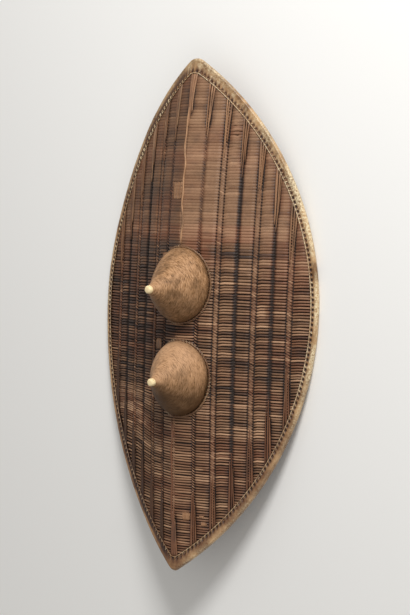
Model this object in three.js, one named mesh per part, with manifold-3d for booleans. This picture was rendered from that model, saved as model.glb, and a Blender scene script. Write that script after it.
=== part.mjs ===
// A pointed-oval wicker shield with two conical bosses, lying on its rim with its front up.
// Millimetres. +Z up, +Y from the shield's bottom point to its top point, x = 0 on the keel line.
// Every piece is drawn from the keel's crown, and the whole shield is then raised on to its rim, so
// the origin is on the surface that it lies on, under the middle of its length.
import * as THREE from "three";
import { mergeVertices } from "three/addons/utils/BufferGeometryUtils.js";
import Module from "manifold-3d";

const wasm = await Module();
wasm.setup();

// Outline of the whole shield, hide binding included
const shieldLength = 1050;
const shieldWidth = 560;
const widestAboveMiddle = 15; // the widest place is a little above mid length
const topPointRadius = 24;
const bottomPointRadius = 12;

// Form of the shield: two slightly bowed halves that meet at a keel
const keelSlope = 18.4; // degrees, each half beside the keel
const edgeSlope = 22.4; // degrees, each half at the binding
const keelRounding = 7; // how softly the keel is rounded
const topPointSetBack = 36; // how far the top point bends back
const bottomPointSetBack = 4;
const upperLeftTrim = 14; // the upper left edge runs flatter than the right one by this much
const bottomPointAside = 13; // the keel bends to the right towards the bottom point
const keelBendStart = 100; // below mid length
const restFlatDepth = 1.7; // the binding is worn flat by this much where the shield lies on it

// Woven panel
const panelThickness = 9;
const columnsPerSide = 6; // lines of twining and open grooves, alternately
const lastColumnInset = 40.5; // from the cut edge of the hide at the widest place
const columnCrowding = 0.0975; // how much closer the lines stand towards the edge
const openGrooveWidth = 10; // odd lines are one open groove
const openGrooveDepth = 3.2;
const twinedLineWidth = 12; // even lines are a row of twining between two thin grooves
const twinedGrooveDepth = 2;
const panelSteps = 14; // facets along the bow of the panel

// Hide binding folded over the edge
const bindingWidth = 15.5; // from the outer edge to the cut edge of the hide
const topCapWidth = 32;
const bottomCapWidth = 30;
const beadWidth = 10;
const beadThickness = 16;
const hideThickness = 1.5;
const foldGap = 1; // the fold stands this far off the panel
const fitGap = 0.4; // clearance between other pieces that touch
const stepsPerSide = 13; // facets of the edge, from the widest place to a point
const stepsPerPoint = 8;

// Thong sewn through the binding
const thongWidth = 3;
const thongThickness = 1.3;
const thongFromCut = 3.2; // from the hide's cut edge to the middle of the thong

// Stake ends that run in from the binding along each line of twining
const stakeEndWidth = 15;
const stakeEndPointWidth = 3;
const stakeEndThickness = 2;
const stakeEndLength = 96;
const stakeEndGap = 2; // from the cut edge of the hide

// Bosses: the upper one stands out further and droops more
const bossLength = 154; // along the keel
const bossWidth = 128; // across it
const bossNeckRadius = 9.5;
const bosses = {
  // Place of the foot's centre from the middle; droop in degrees; belly is 0 for a straight cone;
  // sag is how far the flank hangs towards the bottom point
  upper: { above: 62, aside: 3, height: 93, droop: 5, belly: 0.75, sag: 8 },
  lower: { above: -129, aside: 7, height: 80, droop: 2.5, belly: 1.1, sag: 0 },
};
const skirtWidth = 4;
const skirtThickness = 2;
const tipRadius = 8;
const tipLength = 10;
const bossSides = 24;

// Grip on the back, between the bosses
const gripWidth = 26;
const gripBarThickness = 18;
const gripFingerGap = 40; // between the bar and the panel
const gripFootLength = 60;
const gripOpening = 130; // clear length for the hand
const gripFootThickness = 16;
const lashingWidth = 22;
const lashingThickness = 3;

const halfWidth = shieldWidth / 2;
const halfLength = shieldLength / 2;
const halfPanel = panelThickness / 2;
const slope = (degrees) => Math.tan(THREE.MathUtils.degToRad(degrees));

// Level of the panel's middle surface at a place in plan, from the keel's crown.
function middleAt(x, y) {
  const t = y / halfLength;
  const softX = Math.hypot(x, keelRounding) - keelRounding;
  const bend = (slope(edgeSlope) - slope(keelSlope)) / (2 * halfWidth);
  const evenBow = (topPointSetBack + bottomPointSetBack) / 2;
  const unevenBow = (topPointSetBack - bottomPointSetBack) / 2;
  return -(slope(keelSlope) * softX + bend * x * x + evenBow * t * t + unevenBow * t * t * t);
}

// Unit normal of the front at a place in plan.
function normalAt(x, y) {
  const step = 0.5;
  const dx = (middleAt(x - step, y) - middleAt(x + step, y)) / (2 * step);
  const dy = (middleAt(x, y - step) - middleAt(x, y + step)) / (2 * step);
  return new THREE.Vector3(dx, dy, 1).normalize();
}

// A point at a height off the middle surface, along the normal.
function onShield(x, y, height) {
  return new THREE.Vector3(x, y, middleAt(x, y)).addScaledVector(normalAt(x, y), height);
}

// The level of the surface at a height off the middle one, for slabs that are built straight up.
function levelAt(x, y, height) {
  return middleAt(x, y) + height / normalAt(x, y).z;
}

// A pointed oval: on each side two arcs that meet at the widest place, and a small arc round each point.
function pointedOval(half, topReach, bottomReach) {
  const end = (reach, radius) => {
    const rise = reach - radius;
    const arc = (half * half + rise * rise - radius * radius) / (2 * (half - radius));
    return { rise, arc, radius, turn: Math.atan2(rise, arc - half) };
  };
  const top = end(topReach - widestAboveMiddle, topPointRadius);
  const bottom = end(bottomReach + widestAboveMiddle, bottomPointRadius);
  return { half, top, bottom };
}

// How much further in the left edge stands than the right one at y.
function trimAt(y) {
  const up = (y - widestAboveMiddle) / (halfLength - widestAboveMiddle);
  return upperLeftTrim * Math.sin(Math.PI * THREE.MathUtils.clamp(up, 0, 1)) ** 2;
}

// Points round a pointed oval, anticlockwise from the widest place on the right.
function ovalPoints({ half, top, bottom }) {
  const quarter = ({ arc, turn, rise, radius }, up) => {
    const points = [];
    for (let i = 0; i < stepsPerSide; i++) {
      const a = (turn * i) / stepsPerSide;
      points.push([half - arc + arc * Math.cos(a), up * arc * Math.sin(a)]);
    }
    for (let i = 0; i <= stepsPerPoint / 2; i++) {
      const a = THREE.MathUtils.lerp(turn, Math.PI / 2, (2 * i) / stepsPerPoint);
      points.push([radius * Math.cos(a), up * (rise + radius * Math.sin(a))]);
    }
    return points;
  };
  const mirrored = (points) => points.map(([x, y]) => [-x, y]);
  const upper = quarter(top, 1);
  const lower = quarter(bottom, -1);
  return [
    ...upper,
    ...mirrored(upper).reverse().slice(1),
    ...mirrored(lower).slice(1),
    ...lower.reverse().slice(1, -1),
  ].map(([x, up]) => {
    const y = up + widestAboveMiddle;
    return new THREE.Vector2(x < 0 ? x + trimAt(y) : x, y);
  });
}

// Where a pointed oval's edge crosses the line at x, at its top end (up = 1) or bottom end (up = -1).
function ovalEdgeAt({ half, top, bottom }, x, up) {
  const { arc, turn, rise, radius } = up > 0 ? top : bottom;
  const crossing = (away) => {
    const reach = away < radius * Math.cos(turn)
      ? rise + Math.sqrt(radius ** 2 - away * away)
      : Math.sqrt(Math.max(0, arc ** 2 - (away - half + arc) ** 2));
    return widestAboveMiddle + up * reach;
  };
  let y = crossing(Math.abs(x));
  if (x < 0 && up > 0) {
    for (let i = 0; i < 12; i++) y = crossing(trimAt(y) - x);
  }
  return y;
}

const outerOval = pointedOval(halfWidth, halfLength, halfLength);
const cutOval = pointedOval(halfWidth - bindingWidth, halfLength - topCapWidth, halfLength - bottomCapWidth);
const outerEdge = ovalPoints(outerOval);
const cutEdge = ovalPoints(cutOval);

// A point of the binding at a station round the edge. depth is counted in from the outer edge, or out
// from the hide's cut edge when it is negative.
function bindingPoint(station, depth, height) {
  const outer = outerEdge[station];
  const cut = cutEdge[station];
  const share = depth / outer.distanceTo(cut);
  const { x, y } = outer.clone().lerp(cut, depth < 0 ? 1 + share : share);
  return onShield(x, y, height);
}

// The binding's section as [depth, height]: round the bead, along a flap and back inside the fold.
const flapTop = halfPanel + foldGap + hideThickness;
const cutInset = -0.001;
const frontHalfOfSection = [
  [beadWidth * 0.12, beadThickness * 0.3],
  [beadWidth * 0.45, beadThickness / 2],
  [beadWidth * 0.8, beadThickness * 0.44],
  [beadWidth * 1.05, flapTop],
  [cutInset, flapTop],
  [cutInset, halfPanel + foldGap],
  [beadWidth, halfPanel + foldGap],
];
const backHalfOfSection = frontHalfOfSection.map(([depth, height]) => [depth, -height]);
const bindingSection = [[0, 0], ...frontHalfOfSection, ...backHalfOfSection.reverse()];

// The shield is raised so far that only the worn flats of the binding are below its lowest round.
const bindingRounds = outerEdge.map((_, station) =>
  bindingSection.map(([depth, height]) => bindingPoint(station, depth, height)),
);
const lowestRound = Math.min(...bindingRounds.flat().map((point) => point.z));
const groundLevel = lowestRound + restFlatDepth;

function toSolid(geometry) {
  const bare = geometry.clone();
  bare.deleteAttribute("normal");
  bare.deleteAttribute("uv");
  const merged = mergeVertices(bare, 1e-4);
  return new wasm.Manifold(
    new wasm.Mesh({
      numProp: 3,
      vertProperties: new Float32Array(merged.attributes.position.array),
      triVerts: new Uint32Array(merged.index.array),
    }),
  );
}

function toGeometry(solid) {
  const mesh = solid.getMesh();
  const geometry = new THREE.BufferGeometry();
  geometry.setAttribute("position", new THREE.BufferAttribute(mesh.vertProperties, 3));
  geometry.setIndex(new THREE.BufferAttribute(mesh.triVerts, 1));
  geometry.computeVertexNormals();
  return geometry;
}

// Skins a list of section loops. A closed ring joins the last section to the first; a bar gets end faces.
function loft(sections, closedRing) {
  const sides = sections[0].length;
  const index = [];
  const last = closedRing ? sections.length : sections.length - 1;
  for (let i = 0; i < last; i++) {
    const next = (i + 1) % sections.length;
    for (let j = 0; j < sides; j++) {
      const k = (j + 1) % sides;
      index.push(i * sides + j, next * sides + j, next * sides + k);
      index.push(i * sides + j, next * sides + k, i * sides + k);
    }
  }
  if (!closedRing) {
    const far = (sections.length - 1) * sides;
    for (let j = 1; j < sides - 1; j++) {
      index.push(0, j, j + 1);
      index.push(far, far + j + 1, far + j);
    }
  }
  const geometry = new THREE.BufferGeometry().setFromPoints(sections.flat());
  geometry.setIndex(index);
  return geometry;
}

// A slab over the given grid lines, between two surfaces.
function slab(xLines, yLines, lower, upper) {
  const geometry = new THREE.BoxGeometry(1, 1, 1, xLines.length - 1, yLines.length - 1, 1);
  const position = geometry.attributes.position;
  for (let i = 0; i < position.count; i++) {
    const x = xLines[Math.round((position.getX(i) + 0.5) * (xLines.length - 1))];
    const y = yLines[Math.round((position.getY(i) + 0.5) * (yLines.length - 1))];
    position.setXYZ(i, x, y, position.getZ(i) > 0 ? upper(x, y) : lower(x, y));
  }
  return toSolid(geometry);
}

function evenly(from, to, steps) {
  return Array.from({ length: steps + 1 }, (_, i) => THREE.MathUtils.lerp(from, to, i / steps));
}

// Distance of line n from the keel.
function columnX(n) {
  const share = n / columnsPerSide;
  const last = halfWidth - bindingWidth - lastColumnInset;
  return last * share * (1 + columnCrowding * (1 - share));
}

// Depth of the front's relief at x: open grooves on odd lines, pairs of thin grooves on even lines.
function reliefAt(x) {
  let depth = 0;
  for (let n = 1; n <= columnsPerSide; n++) {
    const away = Math.abs(Math.abs(x) - columnX(n));
    const quarter = twinedLineWidth / 4;
    const open = openGrooveDepth * (1 - (2 * away) / openGrooveWidth);
    const twined = twinedGrooveDepth * (1 - Math.abs(away - quarter) / quarter);
    depth = Math.max(depth, n % 2 ? open : twined);
  }
  return depth;
}

const panelYLines = evenly(-halfLength, halfLength, panelSteps);
const panelXLines = [-halfWidth, -1.5 * keelRounding, -keelRounding / 2, 0];
panelXLines.push(keelRounding / 2, 1.5 * keelRounding, halfWidth);
for (let n = 1; n <= columnsPerSide; n++) {
  const halfLine = (n % 2 ? openGrooveWidth : twinedLineWidth) / 2;
  for (const share of n % 2 ? [-1, 0, 1] : [-1, -0.5, 0, 0.5, 1]) {
    panelXLines.push(columnX(n) + share * halfLine, -columnX(n) - share * halfLine);
  }
}
panelXLines.sort((a, b) => a - b);

// A slab that follows the panel, facet by facet, between two surfaces.
const alongPanel = (lower, upper) => slab(panelXLines, panelYLines, lower, upper);

function wovenPanel() {
  const inFold = -halfPanel - foldGap; // the fold reaches furthest in at its back
  const edge = outerEdge.map((_, station) => bindingPoint(station, beadWidth + fitGap, inFold));
  const outline = new THREE.Shape(edge.map(({ x, y }) => new THREE.Vector2(x, y)));
  const prism = new THREE.ExtrudeGeometry(outline, { depth: shieldWidth, bevelEnabled: false });
  prism.translate(0, 0, -halfWidth);
  const cloth = alongPanel(
    (x, y) => levelAt(x, y, -halfPanel),
    (x, y) => levelAt(x, y, halfPanel - reliefAt(x)),
  );
  return cloth.intersect(toSolid(prism));
}

function hideBinding() {
  const ground = new THREE.BoxGeometry(2 * shieldWidth, 2 * shieldLength, shieldWidth);
  ground.translate(0, 0, groundLevel - shieldWidth / 2);
  return toSolid(loft(bindingRounds, true)).subtract(toSolid(ground));
}

// The thong lies on a flap of the binding, face = 1 on the front and -1 on the back.
function sewnThong(face) {
  const under = flapTop + fitGap;
  const over = under + thongThickness;
  const section = [
    [-thongWidth / 2, under],
    [-thongWidth / 4, over],
    [thongWidth / 4, over],
    [thongWidth / 2, under],
  ];
  const turned = face > 0 ? section : section.reverse();
  const rounds = outerEdge.map((outer, station) => {
    const middle = outer.distanceTo(cutEdge[station]) - thongFromCut;
    return turned.map(([across, height]) => bindingPoint(station, middle + across, face * height));
  });
  return loft(rounds, true);
}

// A flat stake end on the front, along line n, from the binding (up = 1 at the top) inwards.
function stakeEnd(n, side, up) {
  const centre = side * columnX(n);
  const under = halfPanel + fitGap;
  const over = under + stakeEndThickness;
  const rimAt = (across) => up * ovalEdgeAt(cutOval, centre + across, up) - stakeEndGap;
  const halfEnd = stakeEndWidth / 2;
  const pointAt = Math.min(rimAt(-halfEnd), rimAt(halfEnd)) - stakeEndLength;
  const sections = evenly(0, 1, 4).map((t) => {
    const halfHere = THREE.MathUtils.lerp(halfEnd, stakeEndPointWidth / 2, t);
    const place = (share, height) => {
      const y = up * THREE.MathUtils.lerp(rimAt(share * halfEnd), pointAt, t);
      return onShield(centre + share * halfHere, y, height);
    };
    const loop = [place(-1, under), place(0, under), place(1, under), place(0.5, over), place(-0.5, over)];
    return up > 0 ? loop.reverse() : loop;
  });
  return loft(sections, false);
}

// Leans and moves a piece that was turned round the Y axis to where its boss stands.
function standOnKeel(geometry, { above, aside, droop }) {
  geometry.rotateX(Math.PI / 2 + THREE.MathUtils.degToRad(droop));
  geometry.translate(aside, above, 0);
  return geometry;
}

// The boss is turned, pinched across the keel, cut to sit over it, and has a thin skirt round its foot.
function boss(which) {
  const radius = bossLength / 2;
  const pinch = 1 - bossWidth / bossLength;
  const flank = [
    [1, -0.5],
    [1, -0.05],
    [0.965, 0.12],
    [0.89, 0.24],
    [0.77, 0.36],
    [0.61, 0.5],
    [0.45, 0.64],
    [0.3, 0.78],
    [0.185, 0.9],
    [bossNeckRadius / radius, 1],
  ];
  const bellied = ([r, h]) => {
    const cone = THREE.MathUtils.lerp(1, bossNeckRadius / radius, h);
    return h > 0 ? [THREE.MathUtils.lerp(cone, r, which.belly), h] : [r, h];
  };
  const profile = [[0, flank[0][1]], ...flank.map(bellied), [0, 1]].map(
    ([r, h]) => new THREE.Vector2(r * radius, h * which.height),
  );
  const turned = new THREE.LatheGeometry(profile, bossSides);
  const position = turned.attributes.position;
  for (let i = 0; i < position.count; i++) {
    const share = Math.hypot(position.getX(i), position.getZ(i)) / radius;
    position.setX(i, position.getX(i) * (1 - pinch * share));
    const upFlank = THREE.MathUtils.clamp(position.getY(i) / which.height, 0, 1);
    position.setZ(i, position.getZ(i) + which.sag * Math.sin(Math.PI * upFlank));
  }
  standOnKeel(turned, which);

  const seat = (x, y) => levelAt(x, y, halfPanel + fitGap);
  const overSkirt = (x, y) => levelAt(x, y, halfPanel + fitGap + skirtThickness);
  const column = new THREE.CylinderGeometry(1, 1, shieldWidth, bossSides);
  column.rotateX(Math.PI / 2);
  column.scale(bossWidth / 2 + skirtWidth, radius + skirtWidth, 1);
  column.translate(which.aside, which.above, 0);
  const skirt = toSolid(column).intersect(alongPanel(seat, overSkirt));
  return toSolid(turned).subtract(alongPanel(() => -shieldWidth, seat)).add(skirt);
}

// The blunt pale tip stands on the boss's neck, along the boss's own axis.
function bossTip(which) {
  const profile = [
    [0, 0],
    [1, 0],
    [1, 0.62],
    [0.86, 0.86],
    [0.5, 1],
    [0, 1],
  ].map(([r, h]) => new THREE.Vector2(r * tipRadius, h * tipLength));
  const turned = new THREE.LatheGeometry(profile, bossSides / 2);
  turned.translate(0, which.height + fitGap, 0);
  return standOnKeel(turned, which);
}

const gripCentreY = (bosses.upper.above + bosses.lower.above) / 2;
const gripSpan = gripOpening + 2 * gripFootLength;

// Cuts the grip or a lashing to the panel's back.
function fitToBack(geometry) {
  const back = (x, y) => levelAt(x, y, -halfPanel - fitGap);
  return toSolid(geometry).subtract(alongPanel(back, () => shieldWidth));
}

// A wooden bar on two feet, drawn from the side.
function handGrip() {
  const half = gripSpan / 2;
  const openHalf = gripOpening / 2;
  const ramp = gripFingerGap * 0.75;
  const shoulder = half - gripFootLength + ramp / 2;
  const barInside = -halfPanel - gripFingerGap;
  const barOutside = barInside - gripBarThickness;
  const footOutside = -halfPanel - gripFootThickness;
  const sideView = new THREE.Shape();
  sideView.moveTo(-half, halfPanel);
  sideView.lineTo(-half, footOutside);
  sideView.lineTo(-half + gripFootLength / 2, footOutside);
  sideView.quadraticCurveTo(-shoulder, barOutside, -openHalf + ramp, barOutside);
  sideView.lineTo(openHalf - ramp, barOutside);
  sideView.quadraticCurveTo(shoulder, barOutside, half - gripFootLength / 2, footOutside);
  sideView.lineTo(half, footOutside);
  sideView.lineTo(half, halfPanel);
  sideView.lineTo(openHalf, halfPanel);
  sideView.lineTo(openHalf, barInside / 2);
  sideView.quadraticCurveTo(openHalf, barInside, openHalf - ramp, barInside);
  sideView.lineTo(-openHalf + ramp, barInside);
  sideView.quadraticCurveTo(-openHalf, barInside, -openHalf, barInside / 2);
  sideView.lineTo(-openHalf, halfPanel);
  const bar = new THREE.ExtrudeGeometry(sideView, {
    depth: gripWidth,
    bevelEnabled: false,
    curveSegments: 5,
  });
  bar.translate(0, 0, -gripWidth / 2);
  bar.rotateX(Math.PI / 2);
  bar.rotateZ(Math.PI / 2);
  bar.translate(0, gripCentreY, 0);
  return fitToBack(bar);
}

// A lashing goes round a foot of the grip and up to the panel's back on both sides.
function gripLashing(end) {
  const middle = gripCentreY + (end * (gripSpan - gripFootLength / 2)) / 2;
  const inside = gripWidth / 2 + fitGap;
  const outside = inside + lashingThickness;
  const under = -halfPanel - gripFootThickness - fitGap;
  const loop = new THREE.Shape();
  loop.moveTo(-outside, halfPanel);
  loop.lineTo(-outside, under);
  loop.lineTo(-inside, under - lashingThickness);
  loop.lineTo(inside, under - lashingThickness);
  loop.lineTo(outside, under);
  loop.lineTo(outside, halfPanel);
  loop.lineTo(inside, halfPanel);
  loop.lineTo(inside, under);
  loop.lineTo(-inside, under);
  loop.lineTo(-inside, halfPanel);
  const band = new THREE.ExtrudeGeometry(loop, { depth: lashingWidth, bevelEnabled: false });
  band.rotateX(Math.PI / 2);
  band.translate(0, middle + lashingWidth / 2, 0);
  return fitToBack(band);
}

const materials = {
  cane: new THREE.MeshStandardMaterial({ color: 0x6b4a38, roughness: 0.7, metalness: 0 }),
  reed: new THREE.MeshStandardMaterial({ color: 0x8f6a50, roughness: 0.65, metalness: 0 }),
  rawhide: new THREE.MeshStandardMaterial({ color: 0xb5935f, roughness: 0.5, metalness: 0 }),
  thong: new THREE.MeshStandardMaterial({ color: 0x5a3a24, roughness: 0.6, metalness: 0 }),
  bossHide: new THREE.MeshStandardMaterial({ color: 0x9a7448, roughness: 0.6, metalness: 0 }),
  paleTip: new THREE.MeshStandardMaterial({ color: 0xe2cf9f, roughness: 0.45, metalness: 0 }),
  gripWood: new THREE.MeshStandardMaterial({ color: 0x7a5636, roughness: 0.55, metalness: 0 }),
};

const shield = new THREE.Group();
shield.position.z = -groundLevel;

// The bend of the keel takes all that stands on it along.
function bendWithKeel(geometry) {
  const position = geometry.attributes.position;
  for (let i = 0; i < position.count; i++) {
    const share = Math.max(0, -position.getY(i) - keelBendStart) / (halfLength - keelBendStart);
    position.setX(i, position.getX(i) + bottomPointAside * share * share);
  }
  geometry.computeVertexNormals();
}

function addPiece(name, shape, material) {
  const geometry = shape.isBufferGeometry ? shape : toGeometry(shape);
  bendWithKeel(geometry);
  const mesh = new THREE.Mesh(geometry, material);
  mesh.name = name;
  shield.add(mesh);
}

addPiece("woven_panel", wovenPanel(), materials.cane);
addPiece("hide_binding", hideBinding(), materials.rawhide);
addPiece("front_thong", sewnThong(1), materials.thong);
addPiece("back_thong", sewnThong(-1), materials.thong);
for (const [end, up] of [["top", 1], ["bottom", -1]]) {
  addPiece(`${end}_keel_stake_end`, stakeEnd(0, 1, up), materials.reed);
  for (let n = 1; n <= columnsPerSide; n++) {
    addPiece(`${end}_right_stake_end_${n}`, stakeEnd(n, 1, up), materials.reed);
    addPiece(`${end}_left_stake_end_${n}`, stakeEnd(n, -1, up), materials.reed);
  }
}
for (const [name, which] of Object.entries(bosses)) {
  addPiece(`${name}_boss`, boss(which), materials.bossHide);
  addPiece(`${name}_boss_tip`, bossTip(which), materials.paleTip);
}
addPiece("hand_grip", handGrip(), materials.gripWood);
addPiece("upper_grip_lashing", gripLashing(1), materials.thong);
addPiece("lower_grip_lashing", gripLashing(-1), materials.thong);

export default shield;
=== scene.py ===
# A wicker shield with two conical bosses, lying on its rim with its front up. Metres.
import math

import bmesh
import bpy
import numpy as np
from bpy.props import FloatProperty, FloatVectorProperty, IntProperty, PointerProperty, StringProperty
from mathutils import Matrix, Vector, noise


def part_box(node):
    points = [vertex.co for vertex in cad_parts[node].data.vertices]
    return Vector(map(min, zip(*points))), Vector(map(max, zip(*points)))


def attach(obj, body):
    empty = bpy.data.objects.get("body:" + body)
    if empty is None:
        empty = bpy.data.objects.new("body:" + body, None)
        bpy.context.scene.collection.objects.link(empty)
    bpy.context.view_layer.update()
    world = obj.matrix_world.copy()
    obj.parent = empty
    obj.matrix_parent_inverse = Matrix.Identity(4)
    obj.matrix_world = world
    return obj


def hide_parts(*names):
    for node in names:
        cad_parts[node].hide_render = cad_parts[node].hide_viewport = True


bl_info = {
    "name": "Wicker shield",
    "version": (1, 0, 0),
    "blender": (4, 5, 0),
    "location": "3D View > Sidebar > Wicker shield",
    "description": "Dresses the shield's frame with cane, hide and wood",
    "category": "Object",
}

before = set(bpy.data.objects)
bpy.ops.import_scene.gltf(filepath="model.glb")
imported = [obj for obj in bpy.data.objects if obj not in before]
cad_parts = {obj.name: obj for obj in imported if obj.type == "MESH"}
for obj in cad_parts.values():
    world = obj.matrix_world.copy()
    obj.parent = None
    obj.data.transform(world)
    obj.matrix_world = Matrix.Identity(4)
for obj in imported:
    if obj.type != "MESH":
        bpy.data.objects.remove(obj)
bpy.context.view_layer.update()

MM = 0.001
COLUMNS = 6  # lines of twining (even) and open grooves (odd) on each side of the keel
HALF_PANEL = 0.0045
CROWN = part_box("woven_panel")[1].z - HALF_PANEL  # level of the panel's middle surface on the keel
WEFT_INSET = 12 * MM  # from the shield's edge to where the wefts end, under the hide
PLAIN_TONE = 0.59  # of most cane, from 0 for the gap colour, which is painted shade with some soot and dirt, to 1 for cane rubbed light
REED_SOFTENING = 24 * MM  # over which the wefts come up again past a stake end
BINDING_STEPS = 336, 9  # of each quarter of the binding, along its side and round its point
BINDING_CLOSING = 1.7 * MM  # the step that closes the binding's round
LASHING_TURNS = 5


def length(name, description, default):
    """A size in metres."""
    return FloatProperty(name=name, description=description, default=default, unit="LENGTH", precision=4)


def finish_colour(name, description, default):
    """A colour that a user may change."""
    return StringProperty(name=name, description=description + ", as an sRGB hex value", default=default)


class ShieldForm(bpy.types.PropertyGroup):
    """Outline and bow of the shield, as its frame has them"""

    full_length: length("Length", "From point to point", 1.05)
    full_width: length("Width", "Across the widest place", 0.56)
    widest_above_middle: length("Widest place", "How far above mid length it is widest", 0.015)
    top_radius: length("Top point", "Radius of the top point", 0.024)
    bottom_radius: length("Bottom point", "Radius of the bottom point", 0.012)
    keel_slope: FloatProperty(
        name="Slope at the keel", description="Of each half beside the keel",
        default=math.radians(18.4), subtype="ANGLE",
    )
    edge_slope: FloatProperty(
        name="Slope at the edge", description="Of each half at the binding",
        default=math.radians(22.4), subtype="ANGLE",
    )
    keel_rounding: length("Keel rounding", "How softly the keel is rounded", 0.007)
    top_set_back: length("Top set back", "How far the top point bends back", 0.036)
    bottom_set_back: length("Bottom set back", "How far the bottom point bends back", 0.004)
    upper_left_trim: length("Upper left trim", "How much further in the upper left edge runs", 0.014)
    bottom_aside: length("Bottom aside", "How far the bottom point stands to the right", 0.013)
    bend_start: length("Bend start", "Below mid length, the keel bends to the right from here", 0.1)


class WeaveSizes(bpy.types.PropertyGroup):
    """Wefts, stakes and twining of the cane cloth"""

    weft_pitch: length("Weft pitch", "From weft to weft in the upper part", 0.0061)
    low_weft_pitch: length("Low weft pitch", "From weft to weft near the bottom point", 0.0054)
    weft_crest: length("Weft crest", "Height of a weft's crest off the panel's middle", 0.0045)
    weft_rise: length("Weft rise", "Half the height of a round weft", 0.0022)
    tight_rise: length("Tight weft rise", "Half the height of a weft pressed flat", 0.0009)
    tight_above: length("Tight above", "The wefts are pressed flat and tight above this place", 0.12)
    last_line_inset: length("Last line", "From the hide's cut edge at the widest place", 0.0405)
    line_crowding: FloatProperty(
        name="Line crowding", description="How much closer the lines stand towards the edge", default=0.0975
    )
    groove_half: length("Groove", "Half the width of an open groove", 0.0072)
    groove_depth: length("Groove depth", "How far the wefts dip in an open groove", 0.0029)
    pinch_at: length("Pinch", "From a twined line to where its wefts are pinched", 0.0056)
    pinch_depth: length("Pinch depth", "How far the wefts dip where they are pinched", 0.0032)
    stitch_length: length("Stitch", "Length of one twining stitch", 0.0105)
    stake_width: length("Stake width", "Width of the flat stakes inside the cloth", 0.0125)
    reed_length: length("Reed length", "Of the stake ends from the binding inwards", 0.096)
    seed: IntProperty(name="Seed", description="Of the uneven wefts", default=11, min=0)


class BindingSizes(bpy.types.PropertyGroup):
    """Hide folded over the edge and its sewing"""

    width: length("Width", "From the outer edge to the hide's cut edge", 0.0155)
    top_cap: length("Top cap", "Width of the hide at the top point", 0.032)
    bottom_cap: length("Bottom cap", "Width of the hide at the bottom point", 0.03)
    stitch_pitch: length("Stitch pitch", "From stitch to stitch along the edge", 0.0104)
    stitch_from_cut: length("Stitches", "From the hide's cut edge to the row of stitches", 0.0042)
    hole_depth: length("Hole depth", "How deep the hide is drawn in at each hole", 0.0027)


class BossSizes(bpy.types.PropertyGroup):
    """The two conical bosses"""

    foot_length: length("Foot length", "Along the keel", 0.154)
    foot_width: length("Foot width", "Across the keel", 0.128)
    neck_radius: length("Neck radius", "Where the pale tip starts", 0.0095)
    tip_radius: length("Tip radius", "Of the pale tip", 0.008)
    tip_length: length("Tip length", "Of the pale tip", 0.01)
    upper: FloatVectorProperty(
        name="Upper boss", description="Above the middle, aside of the keel, height", size=3,
        default=(0.062, 0.003, 0.093),
    )
    lower: FloatVectorProperty(
        name="Lower boss", description="Above the middle, aside of the keel, height", size=3,
        default=(-0.129, 0.007, 0.08),
    )
    upper_droop: FloatProperty(
        name="Upper droop", description="Lean towards the bottom point",
        default=math.radians(5), subtype="ANGLE",
    )
    lower_droop: FloatProperty(
        name="Lower droop", description="Lean towards the bottom point",
        default=math.radians(2.5), subtype="ANGLE",
    )
    upper_belly: FloatProperty(name="Upper belly", description="0 for a straight cone", default=0.75)
    lower_belly: FloatProperty(name="Lower belly", description="0 for a straight cone", default=1.1)
    upper_sag: length("Upper sag", "How far the upper boss's flank hangs towards the bottom point", 0.008)


class FinishColours(bpy.types.PropertyGroup):
    """Colours of the finishes"""

    # The gap colour is painted shade between and under the wefts, with some soot and dirt
    gap: finish_colour("Gap", "Soot and dirt between the wefts", "#20160f")
    dark_cane: finish_colour("Dark cane", "Cane in the dark bands", "#3e302a")
    cane: finish_colour("Cane", "Most of the smoked cane", "#76563e")
    light_cane: finish_colour("Light cane", "Cane rubbed light", "#b89171")
    red_cane: finish_colour("Red cane", "Reddish smoked cane", "#774d37")
    reed: finish_colour("Reed", "Split reed of the stake ends", "#8f6543")
    # The reed edge colour is also the painted highlight on one edge of each reed
    reed_edge: finish_colour("Reed edge", "Light rind of the split reed", "#bd9470")
    reed_stain: finish_colour("Stained reed", "Reddish stain on the lower reeds", "#633a29")
    # The soot colour is painted shade on the left half's reeds, with some soot
    soot: finish_colour("Soot", "Sooty reed of the left half", "#35281f")
    hide: finish_colour("Hide", "Worn rawhide of the binding", "#b38d62")
    # Pale hide is also the painted highlight on the binding's crest and lip
    pale_hide: finish_colour("Pale hide", "Rawhide rubbed pale", "#e6d3ac")
    brown_hide: finish_colour("Brown hide", "Handled and dirty rawhide", "#735233")
    boss_hide: finish_colour("Boss hide", "Dried hide of the bosses", "#9d744d")
    # The light and dark boss hide also paint the light on the bosses' upper sides and the shade on their
    # undersides
    boss_light: finish_colour("Light boss hide", "Its dusty, rubbed fibres", "#c69b75")
    boss_dark: finish_colour("Dark boss hide", "Its darker patches and underside", "#4c331a")
    thong: finish_colour("Thong", "Twisted hide thong", "#8a6238")
    tip: finish_colour("Tip", "Peeled wood of the tips", "#f0d6a2")
    grip: finish_colour("Grip", "Hand-worn wood of the grip", "#7a5636")
    floor: finish_colour("Floor", "Plain pale floor", "#efeeeb")


class StudioSettings(bpy.types.PropertyGroup):
    """Camera and light"""

    turn: FloatProperty(
        name="Turn", description="Of the view from straight above towards the right edge",
        default=math.radians(39), subtype="ANGLE",
    )
    lift: FloatProperty(
        name="Lift", description="Of the view towards the top point",
        default=math.radians(3), subtype="ANGLE",
    )
    roll: FloatProperty(
        name="Roll", description="Of the camera round its own axis",
        default=math.radians(2.021), subtype="ANGLE",
    )
    field: FloatProperty(
        name="Field of view", description="From the picture's top to its bottom",
        default=math.radians(20), subtype="ANGLE",
    )
    place: FloatVectorProperty(
        name="Camera place", description="From the origin",
        size=3, unit="LENGTH", default=(2.2813, 0.2041, 2.836),
    )
    key_power: FloatProperty(name="Key light", description="Power of the main light, in watts", default=120)
    fill_power: FloatProperty(name="Fill light", description="Power of the second light, in watts", default=14)
    sky: FloatProperty(name="Surroundings", description="Strength of the light from all round", default=0.42)


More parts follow.
